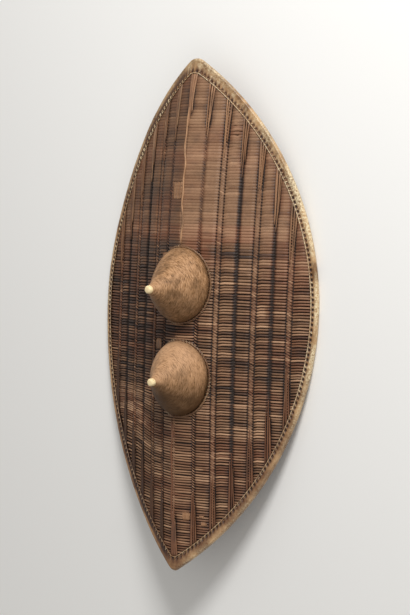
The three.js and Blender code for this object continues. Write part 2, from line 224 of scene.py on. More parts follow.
def linear(colour):
    """The linear value of an sRGB hex colour."""
    channels = (int(colour[i : i + 2], 16) / 255 for i in (1, 3, 5))
    return [c / 12.92 if c <= 0.04045 else ((c + 0.055) / 1.055) ** 2.4 for c in channels] + [1]


# Form of the shield


def slopes():
    """Slope at the keel, its growth outwards, the ends' set back, the keel's rounding and half the length."""
    form = bpy.context.scene.shield_form
    bend = (math.tan(form.edge_slope) - math.tan(form.keel_slope)) / form.full_width
    even = (form.top_set_back + form.bottom_set_back) / 2
    uneven = (form.top_set_back - form.bottom_set_back) / 2
    return math.tan(form.keel_slope), bend, even, uneven, form.keel_rounding, form.full_length / 2


def middle_at(x, y):
    """Level of the panel's middle surface at a place in plan."""
    keel, bend, even, uneven, rounding, half = slopes()
    t = y / half
    soft = np.hypot(x, rounding) - rounding  # distance from the keel, softened on it
    return CROWN - (keel * soft + bend * x * x + even * t * t + uneven * t * t * t)


def normal_at(x, y):
    """Unit normal of the front at a place in plan."""
    keel, bend, even, uneven, rounding, half = slopes()
    t = y / half
    dx = keel * x / np.hypot(x, rounding) + 2 * bend * x
    dy = (2 * even * t + 3 * uneven * t * t) / half
    normal = np.stack([dx, dy + 0 * dx, np.ones_like(dx)], -1)
    return normal / np.linalg.norm(normal, axis=-1, keepdims=True)


def on_shield(x, y, height):
    """Points at a height off the middle surface, along its normal."""
    x, y, height = np.broadcast_arrays(*(np.asarray(v, float) for v in (x, y, height)))
    return np.stack([x, y, middle_at(x, y)], -1) + normal_at(x, y) * height[..., None]


def level_at(x, y, height):
    """Level of the surface at a height off the middle one."""
    x, y = np.asarray(x, float), np.asarray(y, float)
    return middle_at(x, y) + height / normal_at(x, y)[..., 2]


def pointed_oval(inset, top_inset, bottom_inset):
    """Arcs of the outline that runs inside the shield's edge by these distances."""
    form = bpy.context.scene.shield_form
    half = form.full_width / 2 - inset

    def end(reach, radius):
        rise = reach - radius
        arc = (half**2 + rise**2 - radius**2) / (2 * (half - radius))
        return {"rise": rise, "arc": arc, "radius": radius, "turn": math.atan2(rise, arc - half)}

    reach = form.full_length / 2
    top = end(reach - top_inset - form.widest_above_middle, form.top_radius)
    bottom = end(reach - bottom_inset + form.widest_above_middle, form.bottom_radius)
    return {"half": half, "top": top, "bottom": bottom, "middle": form.widest_above_middle}


def trim_at(y):
    """How much further in the left edge stands than the right one."""
    form = bpy.context.scene.shield_form
    up = (np.asarray(y, float) - form.widest_above_middle) / (form.full_length / 2 - form.widest_above_middle)
    return form.upper_left_trim * np.sin(math.pi * np.clip(up, 0, 1)) ** 2


def bend_with_keel(mesh):
    """Takes a piece along where the keel bends towards the bottom point."""
    form = bpy.context.scene.shield_form
    places = np.empty(len(mesh.vertices) * 3)
    mesh.vertices.foreach_get("co", places)
    places = places.reshape(-1, 3)
    share = np.maximum(0, -places[:, 1] - form.bend_start) / (form.full_length / 2 - form.bend_start)
    places[:, 0] += form.bottom_aside * share * share
    mesh.vertices.foreach_set("co", places.ravel())
    mesh.update()


def oval_half_width(oval, y, side=1):
    """How far an outline reaches from the keel at each y, and 0 past its points."""
    up = np.asarray(y, float) - oval["middle"]
    width = np.zeros_like(up)
    for end, away in ((oval["top"], up), (oval["bottom"], -up)):
        flank = oval["half"] - end["arc"] + np.sqrt(np.maximum(end["arc"] ** 2 - away**2, 0))
        point = np.sqrt(np.maximum(end["radius"] ** 2 - np.maximum(away - end["rise"], 0) ** 2, 0))
        here = np.where(away < end["arc"] * math.sin(end["turn"]), flank, point)
        width = np.where(away >= 0, here, width)
    return width if side > 0 else np.maximum(width - trim_at(y), 0)


def oval_edge_at(oval, x, up):
    """Where an outline crosses the line at x, at its top (up = 1) or bottom (up = -1)."""
    end = oval["top"] if up > 0 else oval["bottom"]

    def crossing(away):
        if away < end["radius"] * math.cos(end["turn"]):
            reach = end["rise"] + math.sqrt(end["radius"] ** 2 - away * away)
        else:
            reach = math.sqrt(max(0, end["arc"] ** 2 - (away - oval["half"] + end["arc"]) ** 2))
        return oval["middle"] + up * reach

    y = crossing(abs(x))
    # The trim depends on the place that is looked for, so it is closed in on
    if x < 0 and up > 0:
        for _ in range(12):
            y = crossing(float(trim_at(y)) - x)
    return y


def oval_points(oval, side_steps=BINDING_STEPS[0], point_steps=BINDING_STEPS[1]):
    """Points round an outline, anticlockwise from the widest place on the right."""

    def quarter(end, up):
        a = end["turn"] * np.arange(side_steps) / side_steps
        side = np.stack([oval["half"] - end["arc"] + end["arc"] * np.cos(a), up * end["arc"] * np.sin(a)], -1)
        a = np.linspace(end["turn"], math.pi / 2, point_steps + 1)
        tip = np.stack([end["radius"] * np.cos(a), up * (end["rise"] + end["radius"] * np.sin(a))], -1)
        return np.concatenate([side, tip])

    upper, lower = quarter(oval["top"], 1), quarter(oval["bottom"], -1)
    flip = np.array([-1, 1])
    points = [upper, (upper * flip)[::-1][1:], (lower * flip)[1:], lower[::-1][1:-1]]
    points = np.concatenate(points) + [0, oval["middle"]]
    points[:, 0] += np.where(points[:, 0] < 0, trim_at(points[:, 1]), 0)
    return points


def line_x(n):
    """Distance of line n from the keel."""
    weave, binding = bpy.context.scene.shield_weave, bpy.context.scene.shield_binding
    last = bpy.context.scene.shield_form.full_width / 2 - binding.width - weave.last_line_inset
    share = n / COLUMNS
    return last * share * (1 + weave.line_crowding * (1 - share))


# Meshes


class Strands:
    """Collects many skinned strands in one mesh, with numbers kept on their points."""

    def __init__(self, *attributes):
        self.points, self.faces, self.count = [], [], 0
        self.values = {name: [] for name in attributes}

    def add(self, rounds, ring=False, **values):
        """Skins rounds of points; a strand that isn't a ring is closed by its end faces."""
        n, m = rounds.shape[:2]
        i = np.arange(n if ring else n - 1)[:, None]
        j = np.arange(m)[None, :]
        here, there = i * m, (i + 1) % n * m
        k = (j + 1) % m
        quads = np.stack([here + j, there + j, there + k, here + k], -1).reshape(-1, 4) + self.count
        self.faces += quads.tolist()
        if not ring:
            self.faces.append((np.arange(m) + self.count).tolist())
            self.faces.append((np.arange(m)[::-1] + self.count + (n - 1) * m).tolist())
        self.points.append(rounds.reshape(-1, 3))
        for name, kept in self.values.items():
            kept.append(np.broadcast_to(values.get(name, 0.0), (n, m)).reshape(-1))
        self.count += n * m

    def build(self, name):
        mesh = bpy.data.meshes.new(name)
        mesh.from_pydata(np.concatenate(self.points).tolist(), [], self.faces)
        for attribute, kept in self.values.items():
            data = mesh.attributes.new(attribute, "FLOAT", "POINT").data
            data.foreach_set("value", np.concatenate(kept).astype(np.float32))
        face_outwards(mesh)
        piece = bpy.data.objects.new(name, mesh)
        bpy.context.scene.collection.objects.link(piece)
        return piece


def face_outwards(mesh):
    """Turns all faces of closed shells outwards."""
    whole = bmesh.new()
    whole.from_mesh(mesh)
    bmesh.ops.recalc_face_normals(whole, faces=whole.faces)
    whole.to_mesh(mesh)
    whole.free()


def smooth_hump(away, half):
    """1 in the middle, falling smoothly to 0 at half."""
    near = np.clip(1 - np.abs(away) / half, 0, 1)
    return near * near * (3 - 2 * near)


def tube(path, radius, sides, flat=1.0, aside=Vector((0, 0, 1))):
    """Rounds of a tube along a path, flattened along aside."""
    path = np.asarray(path, float)
    along = np.gradient(path, axis=0)
    along /= np.linalg.norm(along, axis=1, keepdims=True)
    up = np.broadcast_to(np.asarray(aside, float), path.shape)
    up = up - along * np.sum(up * along, axis=1, keepdims=True)
    up /= np.linalg.norm(up, axis=1, keepdims=True)
    across = np.cross(along, up)
    a = 2 * math.pi * np.arange(sides) / sides
    radius = np.broadcast_to(radius, len(path))[:, None, None]
    ring = across[:, None] * np.cos(a)[None, :, None] + flat * up[:, None] * np.sin(a)[None, :, None]
    return path[:, None] + radius * ring


def select_only(piece):
    """Leaves only this piece selected, and active."""
    bpy.ops.object.select_all(action="DESELECT")
    piece.select_set(True)
    bpy.context.view_layer.objects.active = piece


def apply_modifier(piece, kind, **settings):
    """Adds a modifier with its settings and applies it."""
    select_only(piece)
    modifier = piece.modifiers.new(kind.title(), kind)
    for name, value in settings.items():
        setattr(modifier, name, value)
    bpy.ops.object.modifier_apply(modifier=modifier.name)


def finish_piece(piece, material, slot, *replaced, smooth=True, bend=True):
    """Gives a piece its finish and ties it to the frame."""
    if bend:
        bend_with_keel(piece.data)
    piece.data.materials.clear()
    piece.data.materials.append(material)
    piece.data.polygons.foreach_set("use_smooth", [smooth] * len(piece.data.polygons))
    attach(piece, "root")
    if replaced:
        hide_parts(*replaced)
    return piece


# Finishes


def add_node(tree, kind, inputs=None, **settings):
    """Adds a node with its settings, and its inputs as values or as sockets to link."""
    node = tree.nodes.new(kind)
    for name, value in settings.items():
        setattr(node, name, value)
    for name, value in (inputs or {}).items():
        if isinstance(value, bpy.types.NodeSocket):
            tree.links.new(value, node.inputs[name])
        else:
            node.inputs[name].default_value = value
    return node


def new_material(name):
    """A material and its tree, or None for the tree if the material is there already."""
    found = bpy.data.materials.get(name)
    if found:
        return found, None
    material = bpy.data.materials.new(name)
    material.use_nodes = True
    material.node_tree.nodes.clear()
    return material, material.node_tree


def attribute(tree, name):
    """A number kept on the mesh's points."""
    return add_node(tree, "ShaderNodeAttribute", attribute_name=name).outputs["Fac"]


def pattern(tree, spacing, stretch=(1, 1, 1), detail=2.0, roughness=0.5):
    """Noise on object coordinates, with its grains this far apart and drawn out by stretch."""
    place = add_node(tree, "ShaderNodeTexCoord").outputs["Object"]
    drawn = add_node(tree, "ShaderNodeMapping", {"Vector": place, "Scale": [1 / s for s in stretch]})
    inputs = {"Vector": drawn.outputs[0], "Scale": 1 / spacing, "Detail": detail, "Roughness": roughness}
    return add_node(tree, "ShaderNodeTexNoise", inputs).outputs["Fac"]


def ramp(tree, factor, *stops):
    """Colours at places from 0 to 1."""
    node = add_node(tree, "ShaderNodeValToRGB", {"Fac": factor})
    elements = node.color_ramp.elements
    while len(elements) < len(stops):
        elements.new(0.5)
    for element, (position, colour) in zip(elements, stops):
        element.position = position
        element.color = linear(colour)
    return node.outputs["Color"]


def mixed(tree, factor, first, second):
    """A colour between two, each a value or a socket."""
    node = add_node(tree, "ShaderNodeMix", data_type="RGBA")
    for socket, value in ((node.inputs[0], factor), (node.inputs[6], first), (node.inputs[7], second)):
        if isinstance(value, bpy.types.NodeSocket):
            tree.links.new(value, socket)
        else:
            socket.default_value = value
    return node.outputs[2]


def spread(tree, factor, low, high, to_low=0.0, to_high=1.0):
    """Maps a range of a factor to another, clamped."""
    inputs = {"Value": factor, "From Min": low, "From Max": high, "To Min": to_low, "To Max": to_high}
    return add_node(tree, "ShaderNodeMapRange", inputs).outputs["Result"]


def calculated(tree, operation, *values):
    """The result of one sum on values or sockets."""
    return add_node(tree, "ShaderNodeMath", dict(enumerate(values)), operation=operation).outputs[0]


def surface(tree, colour, roughness, height=None, bump=0.3 * MM, **constants):
    """The shader and its output, with relief from a height factor over a real depth."""
    inputs = {"Base Color": colour, "Roughness": roughness}
    inputs.update({name.replace("_", " "): value for name, value in constants.items()})
    if height is not None:
        relief = add_node(tree, "ShaderNodeBump", {"Height": height, "Distance": bump, "Strength": 1.0})
        inputs["Normal"] = relief.outputs["Normal"]
    shader = add_node(tree, "ShaderNodeBsdfPrincipled", inputs)
    add_node(tree, "ShaderNodeOutputMaterial", {"Surface": shader.outputs["BSDF"]})


def smoked_cane():
    """Split rattan cane, smoked and handled: a hard rind with a dull shine, and painted shade with some dirt in
    its gaps.
    """
    material, tree = new_material("smoked split cane")
    if tree:
        colours = bpy.context.scene.shield_colours
        # Rind fibres 1 mm apart, drawn out along each weft: as coarse as they need to be to show
        fibres = pattern(tree, 1.1 * MM, stretch=(18, 1, 1), detail=3)
        blotches = pattern(tree, 14 * MM, stretch=(2, 1, 1), detail=3)
        # The fibres move the tone up and down by up to half of this
        uneven = 0.26
        raised = calculated(tree, "MULTIPLY_ADD", fibres, uneven, attribute(tree, "tone"))
        tone = calculated(tree, "SUBTRACT", raised, uneven / 2)
        brown = ramp(
            tree, tone, (0.0, colours.gap), (0.28, colours.dark_cane),
            (0.55, colours.cane), (0.98, colours.light_cane),
        )
        red = ramp(tree, tone, (0.0, colours.gap), (0.5, colours.red_cane), (1.0, colours.light_cane))
        warm = mixed(tree, attribute(tree, "warmth"), brown, red)
        dusty = mixed(tree, spread(tree, blotches, 0.5, 0.75, 0, 0.35), warm, linear(colours.dark_cane))
        rough = spread(tree, fibres, 0.3, 0.7, 0.42, 0.6)
        surface(tree, dusty, rough, fibres, 0.25 * MM, Specular_IOR_Level=0.3)
    return material


def shade_dark_stake_wood():
    """Flat stakes of split wood inside the cloth, seen only in the gaps: dry, and coloured near black as
    painted shade between the wefts.
    """
    material, tree = new_material("sooty split wood")
    if tree:
        colours = bpy.context.scene.shield_colours
        grain = pattern(tree, 2 * MM, stretch=(1, 20, 1), detail=3)
        surface(tree, ramp(tree, grain, (0.3, colours.gap), (0.8, colours.dark_cane)), 0.8, grain, 0.2 * MM)
    return material


def split_reed():
    """Split reed: a light glossy rind, with a painted highlight along it, over duller, darker wood, with fibres
    along it.
    """
    material, tree = new_material("split reed")
    if tree:
        colours = bpy.context.scene.shield_colours
        fibres = pattern(tree, 1.3 * MM, stretch=(1, 26, 1), detail=3)
        stains = pattern(tree, 16 * MM, stretch=(1, 2.5, 1), detail=2)
        wood = ramp(tree, fibres, (0.25, colours.red_cane), (0.5, colours.reed), (0.75, colours.reed_edge))
        lit = mixed(tree, attribute(tree, "tone"), wood, linear(colours.reed_edge))
        stained = mixed(tree, attribute(tree, "stain"), lit, linear(colours.reed_stain))
        # Soot and painted shade darken the reeds
        sooty_and_shaded = mixed(tree, attribute(tree, "soot"), stained, linear(colours.soot))
        dark = mixed(tree, spread(tree, stains, 0.5, 0.68, 0, 0.45), sooty_and_shaded, linear(colours.dark_cane))
        rough = spread(tree, fibres, 0.3, 0.7, 0.4, 0.6)
        surface(tree, dark, rough, fibres, 0.3 * MM, Specular_IOR_Level=0.35)
    return material


def worn_rawhide():
    """Rawhide, shaved and rubbed: hard and slightly glossy, pale on its crest, partly rubbed and partly a
    painted highlight, and brown in its folds, partly dirt and partly painted shade.
    """
    material, tree = new_material("worn rawhide")
    if tree:
        colours = bpy.context.scene.shield_colours
        patches = pattern(tree, 38 * MM, detail=4, roughness=0.6)
        specks = pattern(tree, 3.5 * MM, detail=3, roughness=0.6)
        dirt = attribute(tree, "dirt")
        base = mixed(tree, spread(tree, patches, 0.42, 0.6), linear(colours.hide), linear(colours.brown_hide))
        rubbed = mixed(tree, spread(tree, specks, 0.35, 0.62), base, linear(colours.pale_hide))
        # The crest attribute lightens with wear and a painted highlight
        worn = mixed(tree, attribute(tree, "crest"), base, rubbed)
        # Dirt and painted shade darken the hide, the deepest, in the stitch holes, to the gap colour
        dirty = mixed(tree, dirt, worn, linear(colours.reed_stain))
        deep = mixed(tree, spread(tree, dirt, 0.45, 1.0, 0, 0.85), dirty, linear(colours.gap))
        surface(tree, deep, spread(tree, specks, 0.3, 0.7, 0.3, 0.5), specks, 0.5 * MM)
    return material


def twisted_thong():
    """Twisted hide thong: fibrous, waxed by handling."""
    material, tree = new_material("twisted hide thong")
    if tree:
        colours = bpy.context.scene.shield_colours
        strands = pattern(tree, 1.6 * MM, detail=3)
        wide = pattern(tree, 25 * MM, detail=2)
        colour = ramp(tree, strands, (0.3, colours.brown_hide), (0.55, colours.thong), (0.8, colours.hide))
        light = mixed(tree, spread(tree, wide, 0.45, 0.62, 0, 0.75), colour, linear(colours.pale_hide))
        dirty = mixed(tree, attribute(tree, "dirt"), light, linear(colours.brown_hide))
        surface(tree, dirty, 0.5, strands, 0.3 * MM)
    return material


def dried_hide():
    """Hide dried hard over a form: matt, with its fibres drawn round the boss, dust and painted light on its
    upper side and painted shade on its underside.
    """
    material, tree = new_material("dried moulded hide")
    if tree:
        colours = bpy.context.scene.shield_colours
        fibres = add_node(tree, "ShaderNodeTexNoise", {"Scale": 1.0, "Detail": 4.0, "Roughness": 0.6})
        turned = add_node(tree, "ShaderNodeAttribute", attribute_name="drawn")
        tree.links.new(turned.outputs["Vector"], fibres.inputs["Vector"])
        fibre = fibres.outputs["Fac"]
        patches = pattern(tree, 26 * MM, detail=4, roughness=0.6)
        stops = (0.34, colours.boss_dark), (0.46, colours.boss_hide), (0.66, colours.boss_light)
        pale = ramp(tree, fibre, *stops)
        blotched = mixed(tree, spread(tree, patches, 0.46, 0.64, 0, 0.6), pale, linear(colours.boss_dark))
        # Dust and painted light lighten the upper side, and painted shade darkens the underside
        dust_and_light_amount = calculated(tree, "MULTIPLY", attribute(tree, "dust"), spread(tree, fibre, 0.36, 0.6, 0.35, 1))
        dusty = mixed(tree, dust_and_light_amount, blotched, linear(colours.boss_light))
        low = mixed(tree, attribute(tree, "dirt"), dusty, linear(colours.boss_dark))
        rough = spread(tree, fibre, 0.3, 0.7, 0.5, 0.68)
        surface(tree, low, rough, fibre, 0.8 * MM, Specular_IOR_Level=0.22)
    return material


def peeled_wood():
    """Pale peeled wood, polished by rubbing."""
    material, tree = new_material("peeled pale wood")
    if tree:
        colours = bpy.context.scene.shield_colours
        grain = pattern(tree, 1.5 * MM, stretch=(1, 1, 5), detail=3)
        colour = ramp(tree, grain, (0.2, colours.hide), (0.4, colours.tip), (0.8, "#f7e6bf"))
        surface(tree, colour, 0.38, grain, 0.15 * MM)
    return material


def hand_worn_wood():
    """Hardwood, carved and polished by the hand: grain along the grip, darker in its pores."""
    material, tree = new_material("hand-worn wood")
    if tree:
        colours = bpy.context.scene.shield_colours
        grain = pattern(tree, 2.2 * MM, stretch=(1, 14, 1), detail=4)
        colour = ramp(tree, grain, (0.3, colours.brown_hide), (0.5, colours.grip), (0.75, colours.reed))
        surface(tree, colour, spread(tree, grain, 0.3, 0.7, 0.35, 0.55), grain, 0.3 * MM)
    return material


# Woven cloth

# Worn places as left, right, bottom, top in millimetres, and what shows there
BARE_STAKES = [
    (-32, -3, 236, 275), (-57, -38, 114, 127), (-71, -51, -74, -52), (17, 34, -419, -401),
    (56, 68, -428, -419), (52, 63, -412, -406),
]
RUBBED_LIGHT = [
    (159, 179, 3, 28), (163, 186, -242, -201), (84, 104, 312, 315), (80, 112, 259, 262), (38, 58, -316, -310),
    (-199, -155, -217, -197), (-133, -105, -238, -231), (-66, -40, -287, -278), (-16, 27, 289.5, 292.5),
]
REDDISH = [(163, 175, -288, -272), (-79, -42, -376, -361), (10, 60, 120, 160), (60, 150, 150, 185)]
DISTURBED = (88, 112, 338, 392)
# Bands of the weave: level and half height in millimetres, and how much lighter and redder they are
BANDS = [
    (404, 14, 0.03, -0.3), (333, 14, 0.05, 0.25), (252, 24, -0.06, -0.2), (205, 9, 0.05, 0.2),
    (172, 18, 0.07, 0.4), (138, 14, -0.1, -0.25), (104, 11, 0.05, 0.1), (-60, 13, -0.09, -0.2),
]


def smooth_step(share):
    """From 0 to 1, smoothly."""
    share = np.clip(share, 0, 1)
    return share * share * (3 - 2 * share)


def sag(x, y):
    """How far the wefts of the lower left have slipped: higher towards the edge, back in place beyond."""
    out = smooth_step((-x - 0.05) / 0.14)
    here = math.exp(-(((y + 0.27) / 0.09) ** 2))
    return 0.026 * out * here


def inside(box, x, y, soft=3.0):
    """1 inside a box given in millimetres, falling to 0 outside it over soft millimetres."""
    left, right, bottom, top = box
    x, y = x / MM, y / MM
    away = np.maximum(np.maximum(left - x, x - right), np.maximum(bottom - y, y - top))
    return np.clip(0.5 - away / soft, 0, 1)


def weft_rows(weave, oval):
    """The rows of wefts from the bottom point to the top point."""
    random = np.random.default_rng(weave.seed)
    y = oval["middle"] - oval["bottom"]["rise"] - oval["bottom"]["radius"] + weave.low_weft_pitch
    top = oval["middle"] + oval["top"]["rise"] + oval["top"]["radius"]
    rows = []
    while y < top - weave.weft_pitch / 2:
        rows.append(y)
        share = float(np.clip(y / top + 0.75, 0, 1))
        y += (weave.low_weft_pitch * (1 - share) + weave.weft_pitch * share) * (1 + random.uniform(-0.05, 0.05))
    return rows


def noise_at(x, y, across, along, layer):
    """Noise at places in plan, with this many grains in a metre each way."""
    return np.array([noise.noise(Vector((a * across, b * along, layer))) for a, b in zip(x, y)])


def band_tone(x, y):
    """How much lighter the smoked cane is in broad bands and blotches, and how red it is, from 0 to 1."""
    bands = 0.17 * noise_at(x, y, 5, 26, 3.1) + 0.13 * noise_at(x, y, 17, 60, 8.7)
    return bands, np.clip(0.3 + noise_at(x, y, 11, 23, 5.3), 0, 1)


def weft_stations(lines, half_width, around_line, per_cell):
    """Places along a weft: close at each line, a few in each cell between lines."""
    centres = sorted([-x for x in lines[1:]] + list(lines))
    xs = [c + step for c in centres for step in around_line]
    for left, right in zip(centres, centres[1:]):
        inner = np.linspace(left + around_line[-1], right + around_line[0], per_cell + 2)[1:-1]
        xs += list(inner)
    last = centres[-1] + around_line[-1]
    outer = list(np.linspace(last, half_width, per_cell + 2)[1:])
    return np.array(sorted(xs + outer + [-x for x in outer]))


def dips_at_lines(x, lines, tight):
    """How far a weft dips, narrows, slips down and darkens with painted shade: in open grooves, where dye
    darkens it too, and pinched beside twining.
    """
    weave = bpy.context.scene.shield_weave
    dip, narrow, shift, dark = (np.zeros_like(x) for _ in range(4))
    for n, line in enumerate(lines[1:], 1):
        away = np.abs(x) - line
        if n % 2:
            hump = smooth_hump(away, weave.groove_half) * (1 - 0.6 * tight * (n == 1))
            dip += weave.groove_depth * hump
            narrow += (0.3 - 0.12 * tight) * hump
            dark += (0.5 + 0.1 * tight) * hump
        else:
            pinch = smooth_hump(np.abs(away) - weave.pinch_at, 2.5 * MM)
            dip += weave.pinch_depth * pinch
            narrow += 0.55 * pinch
            dark += 0.3 * pinch
            right_of_line = x - np.copysign(line, x)
            shift -= 1.6 * MM * np.exp(-(((right_of_line - 7 * MM) / (4 * MM)) ** 2))
    return dip, narrow, shift, dark


def dips_under_reeds(x, y, side, lines, cut):
    """How far a weft dips under the stake ends, which are slim on the left, and darkens with their painted
    shadow.
    """
    weave = bpy.context.scene.shield_weave
    dip, dark = np.zeros_like(x), np.zeros_like(x)
    up = 1 if y > 0 else -1
    for line in lines:
        short_of = weave.reed_length - up * (oval_edge_at(cut, side * line, up) - y)
        if short_of > 0:
            slim = side < 0 and line > 0
            covered = smooth_hump(np.abs(x) - line, (7 if slim else 11) * MM)
            covered = covered * smooth_step(short_of / REED_SOFTENING)
            dark += (0.45 if slim else 0.8) * covered
            dip += 1.6 * MM * covered
    return dip, dark


def make_wefts(face, name, side, sides_round, around_line, per_cell):
    """One half's wefts on the front (face = 1) or the back (face = -1)."""
    weave = bpy.context.scene.shield_weave
    binding = bpy.context.scene.shield_binding
    oval = pointed_oval(WEFT_INSET, WEFT_INSET, WEFT_INSET)
    cut = pointed_oval(binding.width, binding.top_cap, binding.bottom_cap)
    rows = weft_rows(weave, oval)
    lines = [line_x(n) for n in range(COLUMNS + 1)]
    stations = weft_stations(lines, oval["half"], around_line, per_cell)
    cells = 2 * (COLUMNS + 2)
    random = np.random.default_rng(weave.seed + (1 if face > 0 else 2))
    strands = Strands("tone", "warmth")
    turns = 2 * math.pi * np.arange(sides_round) / sides_round
    for row, y in enumerate(rows):
        reach = float(oval_half_width(oval, y, side)) - 1 * MM
        pitch = rows[min(row + 1, len(rows) - 1)] - rows[row] or weave.weft_pitch
        phases = random.uniform(0, 2 * math.pi, 4)
        tight = float(smooth_step((y - weave.tight_above) / 0.2 + 0.5))
        even = 1 - 0.65 * tight
        row_tone, row_lift = random.normal(0, 0.065) * even, random.normal(0, 0.12 * MM) * even
        cell_tone = random.normal(0, 0.075, cells)
        # A few cells are painted lighter as glints
        cell_tone += 0.22 * (random.random(cells) < 0.06)
        cell_lift = random.normal(0, 0.22 * MM, cells)
        stout = 1 + random.uniform(-0.1, 0.1) * even
        if reach < 4 * MM:
            continue
        x = stations[(stations > -reach) & (stations < reach)]
        x = np.concatenate([[-reach], x, [reach]])
        x = x[x >= 0] if side > 0 else x[x <= 0]
        x = np.unique(np.concatenate([x, [0.0]]))
        cell = np.searchsorted(np.array(lines), np.abs(x)) + (COLUMNS + 2) * (x < 0)
        dip, narrow, shift, dark = dips_at_lines(x, lines, tight)
        if face > 0:
            # The wefts are painted darker under the reeds, as their shadow
            dip_here, shade_here = dips_under_reeds(x, y, side, lines, cut)
            dip, dark = dip + dip_here, dark + shade_here
        wander = even * (0.4 * MM * np.sin(x * 31 + phases[0]) + 0.3 * MM * np.sin(x * 83 + phases[1]))
        y_here = y + wander + (shift + sag(x, y)) * (face > 0)

        broad, red = band_tone(x, np.full_like(x, y))
        in_band = [(smooth_hump(y / MM - level, 1.4 * half), *looks) for level, half, *looks in BANDS]
        row_tone += sum(share * lighter for share, lighter, _ in in_band)
        warmer = sum(share * redder for share, _, redder in in_band)
        tone = PLAIN_TONE + 0.005 * tight + (broad + cell_tone[cell]) * even + row_tone - dark
        # Painted shade darkens the left half, which faces away from the light, but for its lowest part
        tone -= (0.16 - 0.05 * tight - 0.2 * smooth_step((-0.12 - y) / 0.12)) * (x < 0)
        rise = (weave.weft_rise * (1 - tight) + weave.tight_rise * tight) * (1 - 0.25 * narrow)
        height = weave.weft_crest - rise - dip + row_lift + cell_lift[cell] * even
        reddish = sum(inside(box, x, y_here, 8.0) for box in REDDISH)
        if face > 0:
            rubbed = sum(inside(box, x, y_here) for box in RUBBED_LIGHT)
            bare = sum(inside(box, x, y_here, 2.0) for box in BARE_STAKES)
            tone = tone + 0.3 * rubbed + 0.2 * bare
            height = height - 2.4 * MM * bare
            messy = inside(DISTURBED, x, y_here, 6.0)
            y_here = y_here + messy * random.normal(0, 1.2 * MM, len(x))
            height = height + messy * random.normal(0, 0.5 * MM, len(x))
        height = np.minimum(height, weave.weft_crest + 0.3 * MM - rise)

        thick = (0.38 + 0.22 * tight) * pitch * stout * (1 - narrow) * (1 + 0.06 * np.sin(x * 47 + phases[2]))
        ys = y_here[:, None] + thick[:, None] * np.cos(turns)[None, :]
        heights = face * height[:, None] + rise[:, None] * np.sin(turns)[None, :]
        warmth = np.clip(red + reddish + warmer, 0, 1)
        # Painted shade darkens each weft low on both sides, where it meets the next, and less where they lie
        # tight on the right
        gap_shade = 0.26 - (0.17 if side > 0 else 0.04) * tight
        low = np.clip(1 - face * np.sin(turns), 0, 1)[None, :] * gap_shade
        tones = np.clip(tone[:, None] + 0.05 - low, 0, 1)
        strands.add(on_shield(x[:, None], ys, heights), tone=tones, warmth=warmth[:, None])
    return strands.build(name)


class SHIELD_OT_front_wefts(bpy.types.Operator):
    """Weave the wefts that show on the front, dipping at each line"""

    bl_idname = "shield.front_wefts"
    bl_label = "Front wefts"

    def execute(self, context):
        around = np.array([-8.2, -5.6, -3.1, 0, 3.1, 5.6, 8.2]) * MM
        for side, name in ((1, "right_front_wefts"), (-1, "left_front_wefts")):
            wefts = make_wefts(1, name, side, 8, around, 2)
            finish_piece(wefts, smoked_cane(), "woven_cane", "woven_panel")
        return {"FINISHED"}


class SHIELD_OT_back_wefts(bpy.types.Operator):
    """Weave the plainer wefts of the back"""

    bl_idname = "shield.back_wefts"
    bl_label = "Back wefts"

    def execute(self, context):
        around = np.array([-6, -2.5, 2.5, 6]) * MM
        for side, name in ((1, "right_back_wefts"), (-1, "left_back_wefts")):
            wefts = make_wefts(-1, name, side, 6, around, 1)
            finish_piece(wefts, smoked_cane(), "woven_cane", "woven_panel")
        return {"FINISHED"}


class SHIELD_OT_stakes(bpy.types.Operator):
    """Lay the flat stakes inside the cloth, and those laid bare where wefts are worn away"""

    bl_idname = "shield.stakes"
    bl_label = "Stakes"

    def execute(self, context):
        weave = context.scene.shield_weave
        inset = WEFT_INSET + 1 * MM
        oval = pointed_oval(inset, inset, inset)
        stakes = Strands()
        step = weave.stake_width + 0.6 * MM
        count = int(oval["half"] / step)
        for i in range(-count, count + 1):
            x = i * step
            wide = abs(x) + weave.stake_width / 2
            if wide >= oval["half"]:
                continue
            ends = [oval_edge_at(oval, math.copysign(wide, x), up) for up in (-1, 1)]
            ys = np.linspace(*ends, 25)
            across = np.array([-1, 1, 1, -1]) * weave.stake_width / 2
            heights = np.array([-1, -1, 1, 1]) * 0.9 * MM
            stakes.add(on_shield((x + across)[None, :], ys[:, None], heights[None, :]))
        # The stakes are dark as painted shade seen between the wefts
        finish_piece(stakes.build("inner_stakes"), shade_dark_stake_wood(), "woven_cane", "woven_panel", smooth=False)

        bare = Strands("tone", "stain", "soot")
        random = np.random.default_rng(weave.seed + 5)
        for left, right, bottom, top in BARE_STAKES:
            steps = 5 + int((top - bottom) / 3)
            ys = np.linspace(bottom, top, steps) * MM
            ragged = random.uniform(-1, 1, (steps, 1)) * 1.3 * MM
            ends = np.sin(np.linspace(0, math.pi, steps)) ** 0.3
            centre, half = (left + right) / 2 * MM, (right - left) / 2 * MM
            across = np.linspace(-1, 1, 9)
            uneven = random.uniform(0.82, 1.0, (steps, 1))
            top_x = centre + across[None, :] * half * (0.7 + 0.3 * ends[:, None]) * uneven + ragged
            ribs = 0.5 * MM * np.cos(across * math.pi * 2)[None, :]
            crest = 3.7 * MM + ribs - 1.5 * MM * (1 - ends[:, None])
            upper = on_shield(top_x, ys[:, None], crest)
            lower = on_shield(top_x[:, ::-1], ys[:, None], 1.2 * MM)
            worn = 0.12 + 0.4 * random.random((steps, 1)) * np.ones((1, 2 * len(across)))
            bare.add(np.concatenate([upper, lower], 1), tone=worn, stain=0.2)
        finish_piece(bare.build("bare_stakes"), split_reed(), "split_reed", "woven_panel")
        return {"FINISHED"}


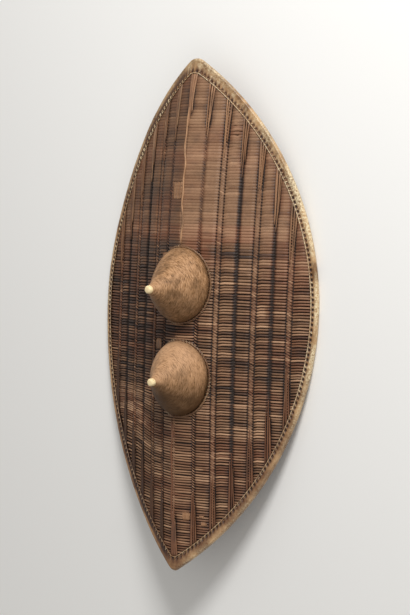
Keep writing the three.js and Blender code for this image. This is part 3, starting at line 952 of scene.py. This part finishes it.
class SHIELD_OT_twining(bpy.types.Operator):
    """Twine a slanting stitch over each weft on the even lines, finer on the keel and the first line"""

    bl_idname = "shield.twining"
    bl_label = "Twining"

    def execute(self, context):
        weave = context.scene.shield_weave
        oval = pointed_oval(17 * MM, 30 * MM, 30 * MM)
        rows = weft_rows(weave, pointed_oval(WEFT_INSET, WEFT_INSET, WEFT_INSET))
        random = np.random.default_rng(weave.seed + 3)
        stitches = Strands("tone", "warmth")
        t = np.linspace(-1, 1, 6)
        fat = np.sqrt(np.clip(1.05 - t * t, 0, 1))
        bosses = context.scene.shield_bosses
        keel_twined_below = bosses.lower[0] - bosses.foot_length / 2 - 4 * MM
        for n in (0, 1, 2, 4, 6):
            bold = n > 1
            for side in (1, -1) if n else (1,):
                line = side * line_x(n)
                half = weave.stitch_length * (1 if bold else 0.6) / 2
                for y in rows:
                    room = float(oval_half_width(oval, y, side)) - abs(line)
                    if room < 6 * MM or (n == 0 and y > keel_twined_below):
                        continue
                    lean = 2.3 * MM * random.uniform(0.8, 1.2)
                    ys = y + weave.weft_pitch * 0.4 - t * lean
                    width = (1.45 if bold else 1.15) * MM * fat * random.uniform(0.85, 1.1)
                    path = on_shield(line + t * half, ys, 3.7 * MM - 1.3 * MM * t * t)
                    here = np.array([line]), np.array([y])
                    above = Vector(normal_at(*here)[0])
                    broad, red = band_tone(*here)
                    # The left half's stitches are painted darker as shade
                    tone = PLAIN_TONE + broad[0] + random.normal(0, 0.1) - 0.14 * (side < 0)
                    if n == 1:
                        tone -= 0.16 * float(smooth_step((y - weave.tight_above) / 0.2 + 0.5))
                    stitches.add(tube(path, width, 6, 0.9, above), tone=tone, warmth=min(1, red[0] + 0.25))
        finish_piece(stitches.build("twining_stitches"), smoked_cane(), "woven_cane", "woven_panel")
        return {"FINISHED"}


def reed_strip(strands, xs, ys, half_widths, crests, base, **values):
    """A split strip along a route, rounded on top and flat below."""
    across = np.array([-1, -0.75, -0.25, 0.25, 0.75, 1, 0])
    share = np.array([0, 0.6, 1, 1, 0.6, 0, -0.4])
    x = xs[:, None] + half_widths[:, None] * across[None, :]
    height = base + (crests[:, None] - base) * share[None, :]
    strands.add(on_shield(x, ys[:, None], height), **values)


class SHIELD_OT_stake_ends(bpy.types.Operator):
    """Lay the split reeds of each stake end from under the hide inwards, and the strips along the keel"""

    bl_idname = "shield.stake_ends"
    bl_label = "Stake ends"

    def execute(self, context):
        binding = context.scene.shield_binding
        self.cut = pointed_oval(binding.width, binding.top_cap, binding.bottom_cap)
        self.base = HALF_PANEL - 0.4 * MM
        random = np.random.default_rng(context.scene.shield_weave.seed + 4)
        for end, up in (("top", 1), ("bottom", -1)):
            for n in range(COLUMNS + 1):
                for side, word in ((1, "right_"), (-1, "left_")) if n else ((1, ""),):
                    name = f"{end}_{word}stake_end_{n}" if n else f"{end}_keel_stake_end"
                    reeds = self.make_reeds(n, side, up, random)
                    finish_piece(reeds.build(name + "_reeds"), split_reed(), "split_reed", name)
        finish_piece(self.make_keel_strips().build("keel_strips"), split_reed(), "split_reed")
        return {"FINISHED"}

    def make_reeds(self, n, side, up, random):
        """The three reeds of line n at its top (up = 1) or bottom (up = -1)."""
        weave = bpy.context.scene.shield_weave
        line = side * line_x(n)
        reeds = Strands("tone", "stain", "soot")
        rim = min(up * oval_edge_at(self.cut, line + step, up) for step in (-7.5 * MM, 7.5 * MM))
        # The reeds are darkened with soot and painted shade, most on the left half, which faces away from the
        # light, and there towards the bottom point
        sooty_and_shaded = 0.12 if side > 0 else 0.4 if up > 0 else 0.75
        slim = 0.55 if side < 0 else 1
        gap = random.uniform(-1.6, 1.6) if n else 0
        # Place and half width in millimetres, and length as a share: the middle reed is the longest
        for offset, wide, reach in (
            (gap / 2 - 4.6, 2.45 + gap / 2, 0.98),
            (gap + 0.9, 1.9, 1.12),
            (gap / 2 + 5.6, 1.75 - gap / 2, 0.82),
        ):
            if reach < 1:
                reach *= random.uniform(0.86, 1.02)
            t = np.linspace(0, 1, 13)
            start = up * oval_edge_at(self.cut, line + offset * MM, up) + 3 * MM
            ys = up * (start + (rim - weave.reed_length * reach - start) * t)
            bend = random.uniform(-1.6, 1.6) * MM * np.sin(t * random.uniform(2.2, 4.2))
            xs = line + (offset * MM * (1 - 0.45 * t) + bend * t) * (0.6 + 0.4 * slim)
            half = wide * MM * (slim if n else 1.25) * (1 - 0.62 * t**1.8) * random.uniform(0.9, 1.04)
            crests = self.base + 2.7 * MM * np.clip(t * 9, 0.25, 1) * (1 - 0.35 * t**3)
            # One edge of each reed keeps its light rind, painted brighter as a highlight towards the top point,
            # and the upper right reeds are painted lighter all over
            rind = np.array([0, 0, 0, 0.25, 0.95, 0.95, 0])
            rind = rind if random.random() < 0.5 else rind[[5, 4, 3, 2, 1, 0, 6]]
            light = (0.9 if up > 0 else 0.4) * (1 if side > 0 else 1.1)
            tone = rind[None, :] * light + random.uniform(0, 0.12) + (0.12 if up > 0 < side else 0)
            stain = random.uniform(0.05, 0.4) if up > 0 else random.uniform(0.6, 0.85)
            soot = sooty_and_shaded + random.uniform(-0.12, 0.12) if n else 0.05
            reed_strip(reeds, xs, ys, half, crests, self.base, tone=tone, stain=stain, soot=soot)
        return reeds

    def make_keel_strips(self):
        """A light strip from the top stake end to the upper boss, and a redder one below the lower boss."""
        bosses = bpy.context.scene.shield_bosses
        strips = Strands("tone", "stain", "soot")
        t = np.linspace(0, 1, 60)
        ends = np.clip(20 * np.minimum(t, 1 - t), 0.3, 1)
        first = oval_edge_at(self.cut, 0, 1) - 0.06
        last = bosses.upper[0] + bosses.foot_length / 2 + 5 * MM
        ys = first + (last - first) * t
        xs = (-4 + 8 * t + 1.3 * np.sin(17 * t) + 0.9 * np.sin(31 * t + 1)) * MM
        half = (1.7 + 0.5 * np.sin(23 * t) + 0.3 * np.sin(61 * t)) * MM * ends
        crests = np.full_like(t, HALF_PANEL + 1.9 * MM)
        reed_strip(strips, xs, ys, half, crests, self.base, tone=0.5)
        ys = np.linspace(bosses.lower[0] - bosses.foot_length / 2 - 7 * MM, -0.425, 60)
        xs = (-5.5 + 0.9 * np.sin(13 * t) + 0.5 * np.sin(29 * t + 2)) * MM
        half = (2.3 + 0.4 * np.sin(19 * t)) * MM * ends
        crests = np.full_like(t, HALF_PANEL + 1.6 * MM)
        reed_strip(strips, xs, ys, half, crests, self.base, tone=0.1, stain=0.75)
        return strips


# Binding


def binding_place(outer, cut, depth, height):
    """Points of the binding at depths from its outer edge, on the shield's bow."""
    apart = np.linalg.norm(outer - cut, axis=1)[:, None]
    share = depth / apart
    place = outer[:, None] * (1 - share[..., None]) + cut[:, None] * share[..., None]
    return on_shield(place[..., 0], place[..., 1], height)


def binding_edges():
    """The shield's edge and the hide's cut edge, place by place."""
    binding = bpy.context.scene.shield_binding
    cut = pointed_oval(binding.width, binding.top_cap, binding.bottom_cap)
    return oval_points(pointed_oval(0, 0, 0)), oval_points(cut)


def unevenness(outer, count, grains, layer):
    """Noise on each place of the binding's section, all round, with this many grains in a metre."""
    return np.stack([noise_at(*outer.T, grains, grains, j * layer) for j in range(count)], -1)


# Half of the binding's section as depth and height in millimetres, and how pale each place is, rubbed and with
# a painted highlight on the bead's crest and the lip
SECTION = [
    (0.15, 1.6, 0.9), (0.6, 3.4, 1.0), (1.5, 5.4, 1.0), (2.8, 7.1, 1.0), (4.5, 7.95, 1.0), (6.3, 7.8, 0.8),
    (7.9, 7.1, 0.55), (9.2, 6.5, 0.3), (10.2, 6.3, 0.0), (11.2, 6.0, 0.0), (12.1, 5.95, 0.0),
    (12.9, 6.2, 0.1), (13.7, 7.1, 0.8), (14.6, 7.2, 1.0), (15.3, 6.6, 0.7), (15.5, 5.6, 0.1), (11.5, 5.5, 0.0),
]


class SHIELD_OT_binding(bpy.types.Operator):
    """Fold the hide over the edge, with its bead, its sewn channel and its raised lip"""

    bl_idname = "shield.binding"
    bl_label = "Hide binding"

    def execute(self, context):
        binding = context.scene.shield_binding
        outer, cut = binding_edges()
        y = outer[:, 1:2]
        front = np.array(SECTION)
        back = front[::-1] * [1, -1, 1]
        section_depth, section_height, rubbed_and_lit = np.concatenate([[[0, 0, 0.9]], front, back]).T[:, None, :]
        count = section_depth.size
        apart = np.linalg.norm(outer - cut, axis=1)[:, None]
        depth = section_depth * MM + np.zeros_like(y)
        # The flap is wider at the points, its bead isn't
        past = np.clip((depth - 8.5 * MM) / (1.7 * MM), 0, 1)
        depth = depth + past * (apart - binding.width)
        height = section_height * MM + 0 * depth
        face = np.sign(height)

        run = np.concatenate([[0], np.cumsum(np.linalg.norm(np.diff(outer, axis=0), axis=1))])
        whole_run = run[-1] + BINDING_CLOSING
        phase = 2 * math.pi * run / whole_run * round(whole_run / binding.stitch_pitch)
        sewn = np.exp(-(((depth - apart + binding.stitch_from_cut) / (2.4 * MM)) ** 2))
        lip = np.exp(-(((depth - apart + 1 * MM) / (1.2 * MM)) ** 2))
        hole = smooth_step(0.65 + 0.95 * np.cos(phase))[:, None]
        height = height - face * binding.hole_depth * hole * (sewn + 0.25 * lip)
        rough = unevenness(outer, count, 60, 0.45)
        slow = noise_at(*outer.T, 14, 14, 2.2)[:, None]
        bead = np.clip(np.abs(height) / (8 * MM), 0, 1) * (depth < 10 * MM)
        worn_in = 0.35 * MM * np.clip(rough + 0.3, 0, 1) + 0.5 * MM * np.clip(slow, 0, 1)
        points = binding_place(outer, cut, depth, height - face * bead * worn_in)
        points[..., 2] = np.maximum(points[..., 2], 0)

        # The crest is pale where rubbed, and painted lighter still as a highlight on the right side and the
        # middle of the run, less at the points
        handling = smooth_step((y + 0.2) / 0.16) * (1 - 0.85 * smooth_step((y - 0.26) / 0.1)) * 0.9 + 0.35
        handling = handling * np.where(outer[:, :1] > 0, 1.25, 0.85)
        crest = rubbed_and_lit * np.clip(0.75 + 1.2 * slow + 0.5 * rough, 0, 1) * handling
        # Towards the top point the flap is pale in flecks beside its stitches, rubbed and painted as highlights
        flecks = np.clip(unevenness(outer, count, 130, 0.7) + 0.15, 0, 0.7)
        beside = smooth_step((depth - 6.5 * MM) / (3 * MM)) * smooth_step((y - 0.18) / 0.1)
        crest = np.clip(crest + 1.3 * beside * flecks + 0.5 * lip * rubbed_and_lit, 0, 1)
        shaded = np.clip((depth - 7.6 * MM) / (3 * MM), 0, 1) * (1 - lip)
        # Painted shade darkens the left side, which faces away from the light, the lower part, with some dirt,
        # and the stitch holes and the sewn channel
        left = smooth_step(-outer[:, :1] / 0.04)
        grimy_and_shaded = 0.32 * smooth_step((-0.16 - y) / 0.15) * (0.7 + 0.8 * rough) + 0.12 * left
        dirt = np.clip(0.85 * sewn * hole + 0.15 * sewn + (0.2 + 0.4 * left) * shaded + grimy_and_shaded, 0, 0.97)
        hide = Strands("crest", "dirt")
        hide.add(points, ring=True, crest=crest, dirt=dirt)
        finish_piece(hide.build("sewn_hide_binding"), worn_rawhide(), "rawhide", "hide_binding")
        return {"FINISHED"}


class SHIELD_OT_thongs(bpy.types.Operator):
    """Sew the thong through the binding, a slanting stitch at each hole on the front and on the back"""

    bl_idname = "shield.thongs"
    bl_label = "Thongs"

    def execute(self, context):
        binding = context.scene.shield_binding
        weave = context.scene.shield_weave
        outer, cut = (np.vstack([edge, edge[:1]]) for edge in binding_edges())
        run = np.concatenate([[0], np.cumsum(np.linalg.norm(np.diff(outer, axis=0), axis=1))])
        count = round(run[-1] / binding.stitch_pitch)

        def at(distance, edge):
            """The place on an edge at a distance along the outer one."""
            distance = distance % run[-1]
            return np.stack([np.interp(distance, run, edge[:, i]) for i in (0, 1)], -1)

        for face, name in ((1, "front"), (-1, "back")):
            random = np.random.default_rng(weave.seed + 7 + face)
            stitches = Strands("dirt")
            t = np.linspace(-1, 1, 6)
            fat = np.sqrt(np.clip(1.08 - t * t, 0, 1))
            for i in range(count):
                middle = (i + 0.5) * run[-1] / count
                lean = (1.9 + random.uniform(-0.5, 0.5)) * MM
                edge, inner = at(middle + t * lean, outer), at(middle + t * lean, cut)
                depth = np.linalg.norm(edge - inner, axis=1) - binding.stitch_from_cut + t * 2.5 * MM
                lift = face * (7.0 * MM - 1.0 * MM * t * t)
                path = binding_place(edge, inner, depth[:, None], lift[:, None])[:, 0]
                above = Vector(normal_at(path[:1, 0], path[:1, 1])[0])
                width = 1.35 * MM * fat * random.uniform(0.8, 1.1)
                low = 0.5 * float(smooth_step((-0.05 - path[0, 1]) / 0.15))
                stitches.add(tube(path, width, 6, 0.8, above), dirt=low + random.uniform(0, 0.4))
            sewing = stitches.build(f"{name}_thong_stitches")
            finish_piece(sewing, twisted_thong(), "hide_thong", f"{name}_thong")
        return {"FINISHED"}


# Bosses

# The boss's flank as shares of its foot radius and of its height
FLANK = [
    (1, -0.5), (1, -0.28), (1, -0.05), (0.994, 0.02), (0.982, 0.07), (0.965, 0.12), (0.935, 0.17),
    (0.89, 0.24), (0.835, 0.3), (0.77, 0.36), (0.69, 0.43), (0.61, 0.5), (0.53, 0.57), (0.45, 0.64),
    (0.375, 0.71), (0.3, 0.78), (0.24, 0.84), (0.185, 0.9), (0.15, 0.95),
]
# The pale tip's flank as shares of its radius and of its length
KNOB = [
    (0.94, -0.14), (1, 0.05), (1, 0.3), (0.98, 0.6), (0.93, 0.78), (0.81, 0.9), (0.58, 0.97), (0.25, 1),
]


def turned(name, profile, sides):
    """Turns a form by extruding and scaling the end of a disc, ring by ring."""
    bpy.ops.object.select_all(action="DESELECT")
    radius, level = profile[0]
    bpy.ops.mesh.primitive_circle_add(
        vertices=sides, radius=radius, fill_type="TRIFAN", location=(0, 0, level)
    )
    piece = bpy.context.object
    bpy.ops.object.transform_apply(location=True)
    piece.name = piece.data.name = name
    bpy.ops.object.mode_set(mode="EDIT")
    for next_radius, next_level in profile[1:]:
        bpy.ops.mesh.extrude_region_move(TRANSFORM_OT_translate={"value": (0, 0, next_level - level)})
        scale = next_radius / radius
        bpy.ops.transform.resize(value=(scale, scale, 1), center_override=(0, 0, next_level))
        radius, level = next_radius, next_level
    bpy.ops.object.mode_set(mode="OBJECT")
    face_outwards(piece.data)
    return piece


def stand_on_keel(above, aside, droop):
    """The turn and place of a boss."""
    return Matrix.Translation((aside, above, CROWN)) @ Matrix.Rotation(droop, 4, "X")


def below_seat(centre, half, height):
    """A block under the surface that a boss sits on, to cut its foot with."""
    bpy.ops.object.select_all(action="DESELECT")
    bpy.ops.mesh.primitive_grid_add(
        x_subdivisions=48, y_subdivisions=12, size=2 * half, location=(*centre, 0)
    )
    block = bpy.context.object
    bpy.ops.object.transform_apply(location=True)
    bpy.ops.object.mode_set(mode="EDIT")
    bpy.ops.mesh.extrude_region_move(TRANSFORM_OT_translate={"value": (0, 0, -0.2)})
    bpy.ops.object.mode_set(mode="OBJECT")
    for vertex in block.data.vertices:
        if vertex.co.z > -0.1:
            vertex.co.z = float(level_at(vertex.co.x, vertex.co.y, height))
    face_outwards(block.data)
    return block


def keep_numbers(piece, name, values, kind="FLOAT"):
    """Keeps numbers on a piece's points, for its finish to read."""
    data = piece.data.attributes.new(name, kind, "POINT").data
    key = "value" if kind == "FLOAT" else "vector"
    data.foreach_set(key, np.asarray(values, np.float32).reshape(-1))


class SHIELD_OT_bosses(bpy.types.Operator):
    """Shape the two conical bosses, with their fibres, hems, stitches and pale tips"""

    bl_idname = "shield.bosses"
    bl_label = "Bosses"

    def execute(self, context):
        sizes = context.scene.shield_bosses
        for which in ("upper", "lower"):
            above, aside, height = getattr(sizes, which)
            droop = getattr(sizes, which + "_droop")
            self.make_boss(which, sizes, above, aside, height, droop)
            self.make_hem(which, sizes, above, aside)
            self.make_tip(which, sizes, above, aside, height, droop)
        return {"FINISHED"}

    def make_boss(self, which, sizes, above, aside, height, droop):
        radius = sizes.foot_length / 2
        pinch = 1 - sizes.foot_width / sizes.foot_length
        belly = getattr(sizes, which + "_belly")
        sag = sizes.upper_sag if which == "upper" else 0
        profile = []
        for r, h in FLANK:
            cone = 1 + (sizes.neck_radius / radius - 1) * h
            profile.append(((cone + (r - cone) * belly if h > 0 else r) * radius, h * height))
        profile += [(sizes.neck_radius + 0.5 * MM, height * 0.985), (sizes.neck_radius - 1 * MM, height)]
        body = turned(f"{which}_boss_hide", profile, 128)
        place = stand_on_keel(above, aside, droop)
        shift = 4.0 if which == "upper" else 9.0  # so that the two aren't uneven in the same way
        for vertex in body.data.vertices:
            x, y, z = vertex.co
            out = math.hypot(x, y) / radius
            uneven = noise.noise(Vector((x * 22 + shift, y * 22, z * 22)))
            fine = noise.noise(Vector((x * 75 + shift, y * 75, z * 75)))
            on_flank = out > 0.2 and z <= 0.9 * height
            grow = 1 + (0.012 * uneven + 0.006 * fine if on_flank else 0)
            hang = sag * math.sin(math.pi * min(max(z / height, 0), 1))
            vertex.co = place @ Vector((x * (1 - pinch * out) * grow, y * grow - hang, z))
        block = below_seat((aside, above), radius * 1.3, HALF_PANEL + 0.4 * MM)
        apply_modifier(body, "BOOLEAN", operation="DIFFERENCE", solver="EXACT", object=block)
        bpy.data.objects.remove(block)
        back = place.inverted()
        drawn, dirt, dust = [], [], []
        for vertex in body.data.vertices:
            x, y, z = back @ vertex.co
            out = math.hypot(x, y)
            a = math.atan2(y, x)
            # Round the boss the fibres are 9 mm long, down its flank 1.3 mm apart
            ring = out / (9 * MM)
            drawn.append((ring * math.cos(a), ring * math.sin(a), (z - out * 0.4) / (1.3 * MM) + shift))
            # Painted shade darkens the underside, less towards the right, and the flank is darker towards its
            # foot; dust and painted light lighten the upper side of the lower boss and round the neck
            foot = max(0.0, (out / radius - 0.86) * 3.0)
            under = float(smooth_step((0.25 - y / radius) / 0.75)) * (0.86 - 0.3 * x / radius)
            dirt.append(min(0.95, under * (1 if which == "lower" else 0.62) + foot))
            neck_dust_and_light = max(0.0, 1 - out / (3.2 * sizes.neck_radius)) * (0.6 if y > 0 else 0.3)
            dust.append(max(0.0, y / radius + 0.15) * (1.0 if which == "lower" else 0.05) + neck_dust_and_light)
        keep_numbers(body, "drawn", drawn, "FLOAT_VECTOR")
        keep_numbers(body, "dirt", dirt)
        keep_numbers(body, "dust", dust)
        finish_piece(body, dried_hide(), "boss_hide", f"{which}_boss")

    def make_hem(self, which, sizes, above, aside):
        outside = 1.2 * MM
        long, wide = sizes.foot_length / 2 + outside, sizes.foot_width / 2 + outside
        seat = HALF_PANEL + 0.5 * MM
        hem, stitches = Strands("crest", "dirt"), Strands("dirt")
        a = 2 * math.pi * np.arange(160) / 160
        turn = 2 * math.pi * np.arange(10) / 10
        out = 1.9 * MM * np.cos(turn)
        lift = np.maximum(0.9 * MM * np.sin(turn), -0.4 * MM) + 0.6 * MM
        wave = 0.35 * MM * np.sin(a * 29)[:, None]
        x = aside + (wide + out[None, :] + wave) * np.cos(a)[:, None]
        y = above + (long + out[None, :] + wave) * np.sin(a)[:, None]
        hem.add(on_shield(x, y, seat + lift[None, :]), ring=True, crest=0.0, dirt=0.62)
        finish_piece(hem.build(f"{which}_boss_hem"), worn_rawhide(), "boss_hide", f"{which}_boss")
        t = np.linspace(-1, 1, 5)
        for i in range(64):
            turn_here = 2 * math.pi * (i + 0.5) / 64 + 0.02 * t
            reach = t * 2.9 * MM
            x = aside + (wide + reach) * np.cos(turn_here)
            y = above + (long + reach) * np.sin(turn_here)
            path = on_shield(x, y, seat + 1.4 * MM - 1.4 * MM * t**4)
            stitches.add(tube(path, 0.6 * MM, 5), dirt=0.55)
        sewing = stitches.build(f"{which}_boss_stitches")
        finish_piece(sewing, twisted_thong(), "hide_thong", f"{which}_boss")

    def make_tip(self, which, sizes, above, aside, height, droop):
        profile = [(r * sizes.tip_radius, h * sizes.tip_length + height + 0.4 * MM) for r, h in KNOB]
        tip = turned(f"{which}_boss_knob", profile, 40)
        place = stand_on_keel(above, aside, droop)
        for vertex in tip.data.vertices:
            x, y, z = vertex.co
            grow = 1 + 0.09 * noise.noise(Vector((x * 150, y * 150, z * 90)))
            vertex.co = place @ Vector((x * grow, y * grow, z))
        finish_piece(tip, peeled_wood(), "pale_tip", f"{which}_boss_tip")


# Grip


class SHIELD_OT_grip(bpy.types.Operator):
    """Round the wooden grip's edges and wind the thongs that lash its feet"""

    bl_idname = "shield.grip"
    bl_label = "Grip"

    def execute(self, context):
        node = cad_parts["hand_grip"]
        grip = bpy.data.objects.new("carved_hand_grip", node.data.copy())
        context.scene.collection.objects.link(grip)
        select_only(grip)
        bpy.ops.object.mode_set(mode="EDIT")
        bpy.ops.mesh.select_all(action="SELECT")
        bpy.ops.mesh.remove_doubles(threshold=0.02 * MM)
        bpy.ops.mesh.dissolve_limited(angle_limit=math.radians(3))
        bpy.ops.object.mode_set(mode="OBJECT")
        apply_modifier(
            grip, "BEVEL", width=3.5 * MM, segments=4, limit_method="ANGLE", angle_limit=math.radians(50)
        )
        finish_piece(grip, hand_worn_wood(), "grip_wood", "hand_grip", bend=False)
        select_only(grip)
        bpy.ops.object.shade_smooth_by_angle(angle=math.radians(40))

        for name in ("upper_grip_lashing", "lower_grip_lashing"):
            low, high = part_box(name)
            turns = Strands("dirt")
            radius, corner = 2.1 * MM, 4 * MM
            out, down = high.x - radius, low.z + radius
            arc = np.linspace(0, math.pi / 2, 5)
            bend = corner - corner * np.stack([np.cos(arc), np.sin(arc)], -1)
            for y in np.linspace(low.y + radius, high.y - radius, LASHING_TURNS):
                rim = float(level_at(out, y, -HALF_PANEL)) + 1 * MM
                left = bend + [-out, down]
                right = left[::-1] * [-1, 1]
                side = np.stack([np.full(4, -out), np.linspace(rim, down + corner, 5)[:-1]], -1)
                route = np.concatenate([side, left, right, side[::-1] * [-1, 1]])
                slant = np.linspace(-0.5, 0.5, len(route)) * MM
                path = np.stack([route[:, 0], y + slant, route[:, 1]], -1)
                turns.add(tube(path, radius, 8, 1.0, Vector((0, 1, 0))), dirt=0.3)
            finish_piece(turns.build(name + "_turns"), twisted_thong(), "hide_thong", name, bend=False)
        return {"FINISHED"}


# Stage


class SHIELD_OT_stage(bpy.types.Operator):
    """Set the pale floor, the soft lights and the camera"""

    bl_idname = "shield.stage"
    bl_label = "Stage"

    def execute(self, context):
        studio = context.scene.shield_studio
        bpy.ops.object.select_all(action="DESELECT")
        bpy.ops.mesh.primitive_plane_add(size=24, location=(0, 0, 0))
        floor = bpy.context.object
        floor.name = "floor"
        # Painted studio floor: matt and even
        material, tree = new_material("matt floor paint")
        if tree:
            surface(tree, linear(context.scene.shield_colours.floor), 0.85)
        floor.data.materials.append(material)

        back = Vector((
            math.sin(studio.turn) * math.cos(studio.lift), math.sin(studio.lift),
            math.cos(studio.turn) * math.cos(studio.lift),
        ))
        right = Vector((math.cos(studio.turn), 0, -math.sin(studio.turn)))
        up = back.cross(right)
        rolled_right = right * math.cos(studio.roll) + up * math.sin(studio.roll)
        rolled_up = up * math.cos(studio.roll) - right * math.sin(studio.roll)
        turn = Matrix((rolled_right, rolled_up, back)).transposed().to_4x4()
        lens = bpy.data.cameras.new("camera")
        lens.sensor_fit = "VERTICAL"
        lens.angle = studio.field
        camera = bpy.data.objects.new("camera", lens)
        camera.matrix_world = Matrix.Translation(studio.place) @ turn
        context.scene.collection.objects.link(camera)
        context.scene.camera = camera

        # The main light stands beyond the top point and to the right, so that it rakes across the wefts
        for name, place, power, size in (
            ("key_light", (1.5, 2.7, 2.0), studio.key_power, 1.1),
            ("fill_light", (2.2, -1.6, 2.4), studio.fill_power, 2.4),
        ):
            lamp = bpy.data.lights.new(name, "AREA")
            lamp.energy, lamp.size = power, size
            light = bpy.data.objects.new(name, lamp)
            light.location = place
            light.rotation_euler = Vector(place).to_track_quat("Z", "Y").to_euler()
            context.scene.collection.objects.link(light)
        world = bpy.data.worlds.new("studio")
        world.use_nodes = True
        background = world.node_tree.nodes["Background"]
        background.inputs["Color"].default_value = linear("#f2f0ed")
        background.inputs["Strength"].default_value = studio.sky
        context.scene.world = world
        context.scene.view_settings.view_transform = "Standard"
        return {"FINISHED"}


OPERATORS = (
    SHIELD_OT_stage,
    SHIELD_OT_front_wefts,
    SHIELD_OT_back_wefts,
    SHIELD_OT_stakes,
    SHIELD_OT_twining,
    SHIELD_OT_stake_ends,
    SHIELD_OT_binding,
    SHIELD_OT_thongs,
    SHIELD_OT_bosses,
    SHIELD_OT_grip,
)


class SHIELD_PT_pieces(bpy.types.Panel):
    """Lists the shield's pieces"""

    bl_label = "Wicker shield"
    bl_idname = "SHIELD_PT_pieces"
    bl_space_type = "VIEW_3D"
    bl_region_type = "UI"
    bl_category = "Wicker shield"

    def draw(self, context):
        for operator in OPERATORS:
            self.layout.operator(operator.bl_idname)


GROUPS = {
    "shield_form": ShieldForm,
    "shield_weave": WeaveSizes,
    "shield_binding": BindingSizes,
    "shield_bosses": BossSizes,
    "shield_colours": FinishColours,
    "shield_studio": StudioSettings,
}


def register():
    for group in GROUPS.values():
        bpy.utils.register_class(group)
    for name, group in GROUPS.items():
        setattr(bpy.types.Scene, name, PointerProperty(type=group))
    for operator in OPERATORS:
        bpy.utils.register_class(operator)
    bpy.utils.register_class(SHIELD_PT_pieces)


def unregister():
    bpy.utils.unregister_class(SHIELD_PT_pieces)
    for operator in reversed(OPERATORS):
        bpy.utils.unregister_class(operator)
    for name, group in reversed(GROUPS.items()):
        delattr(bpy.types.Scene, name)
        bpy.utils.unregister_class(group)


def main():
    register()
    bpy.ops.shield.stage()
    bpy.ops.shield.front_wefts()
    bpy.ops.shield.back_wefts()
    bpy.ops.shield.stakes()
    bpy.ops.shield.twining()
    bpy.ops.shield.stake_ends()
    bpy.ops.shield.binding()
    bpy.ops.shield.thongs()
    bpy.ops.shield.bosses()
    bpy.ops.shield.grip()


if __name__ == "__main__":
    main()
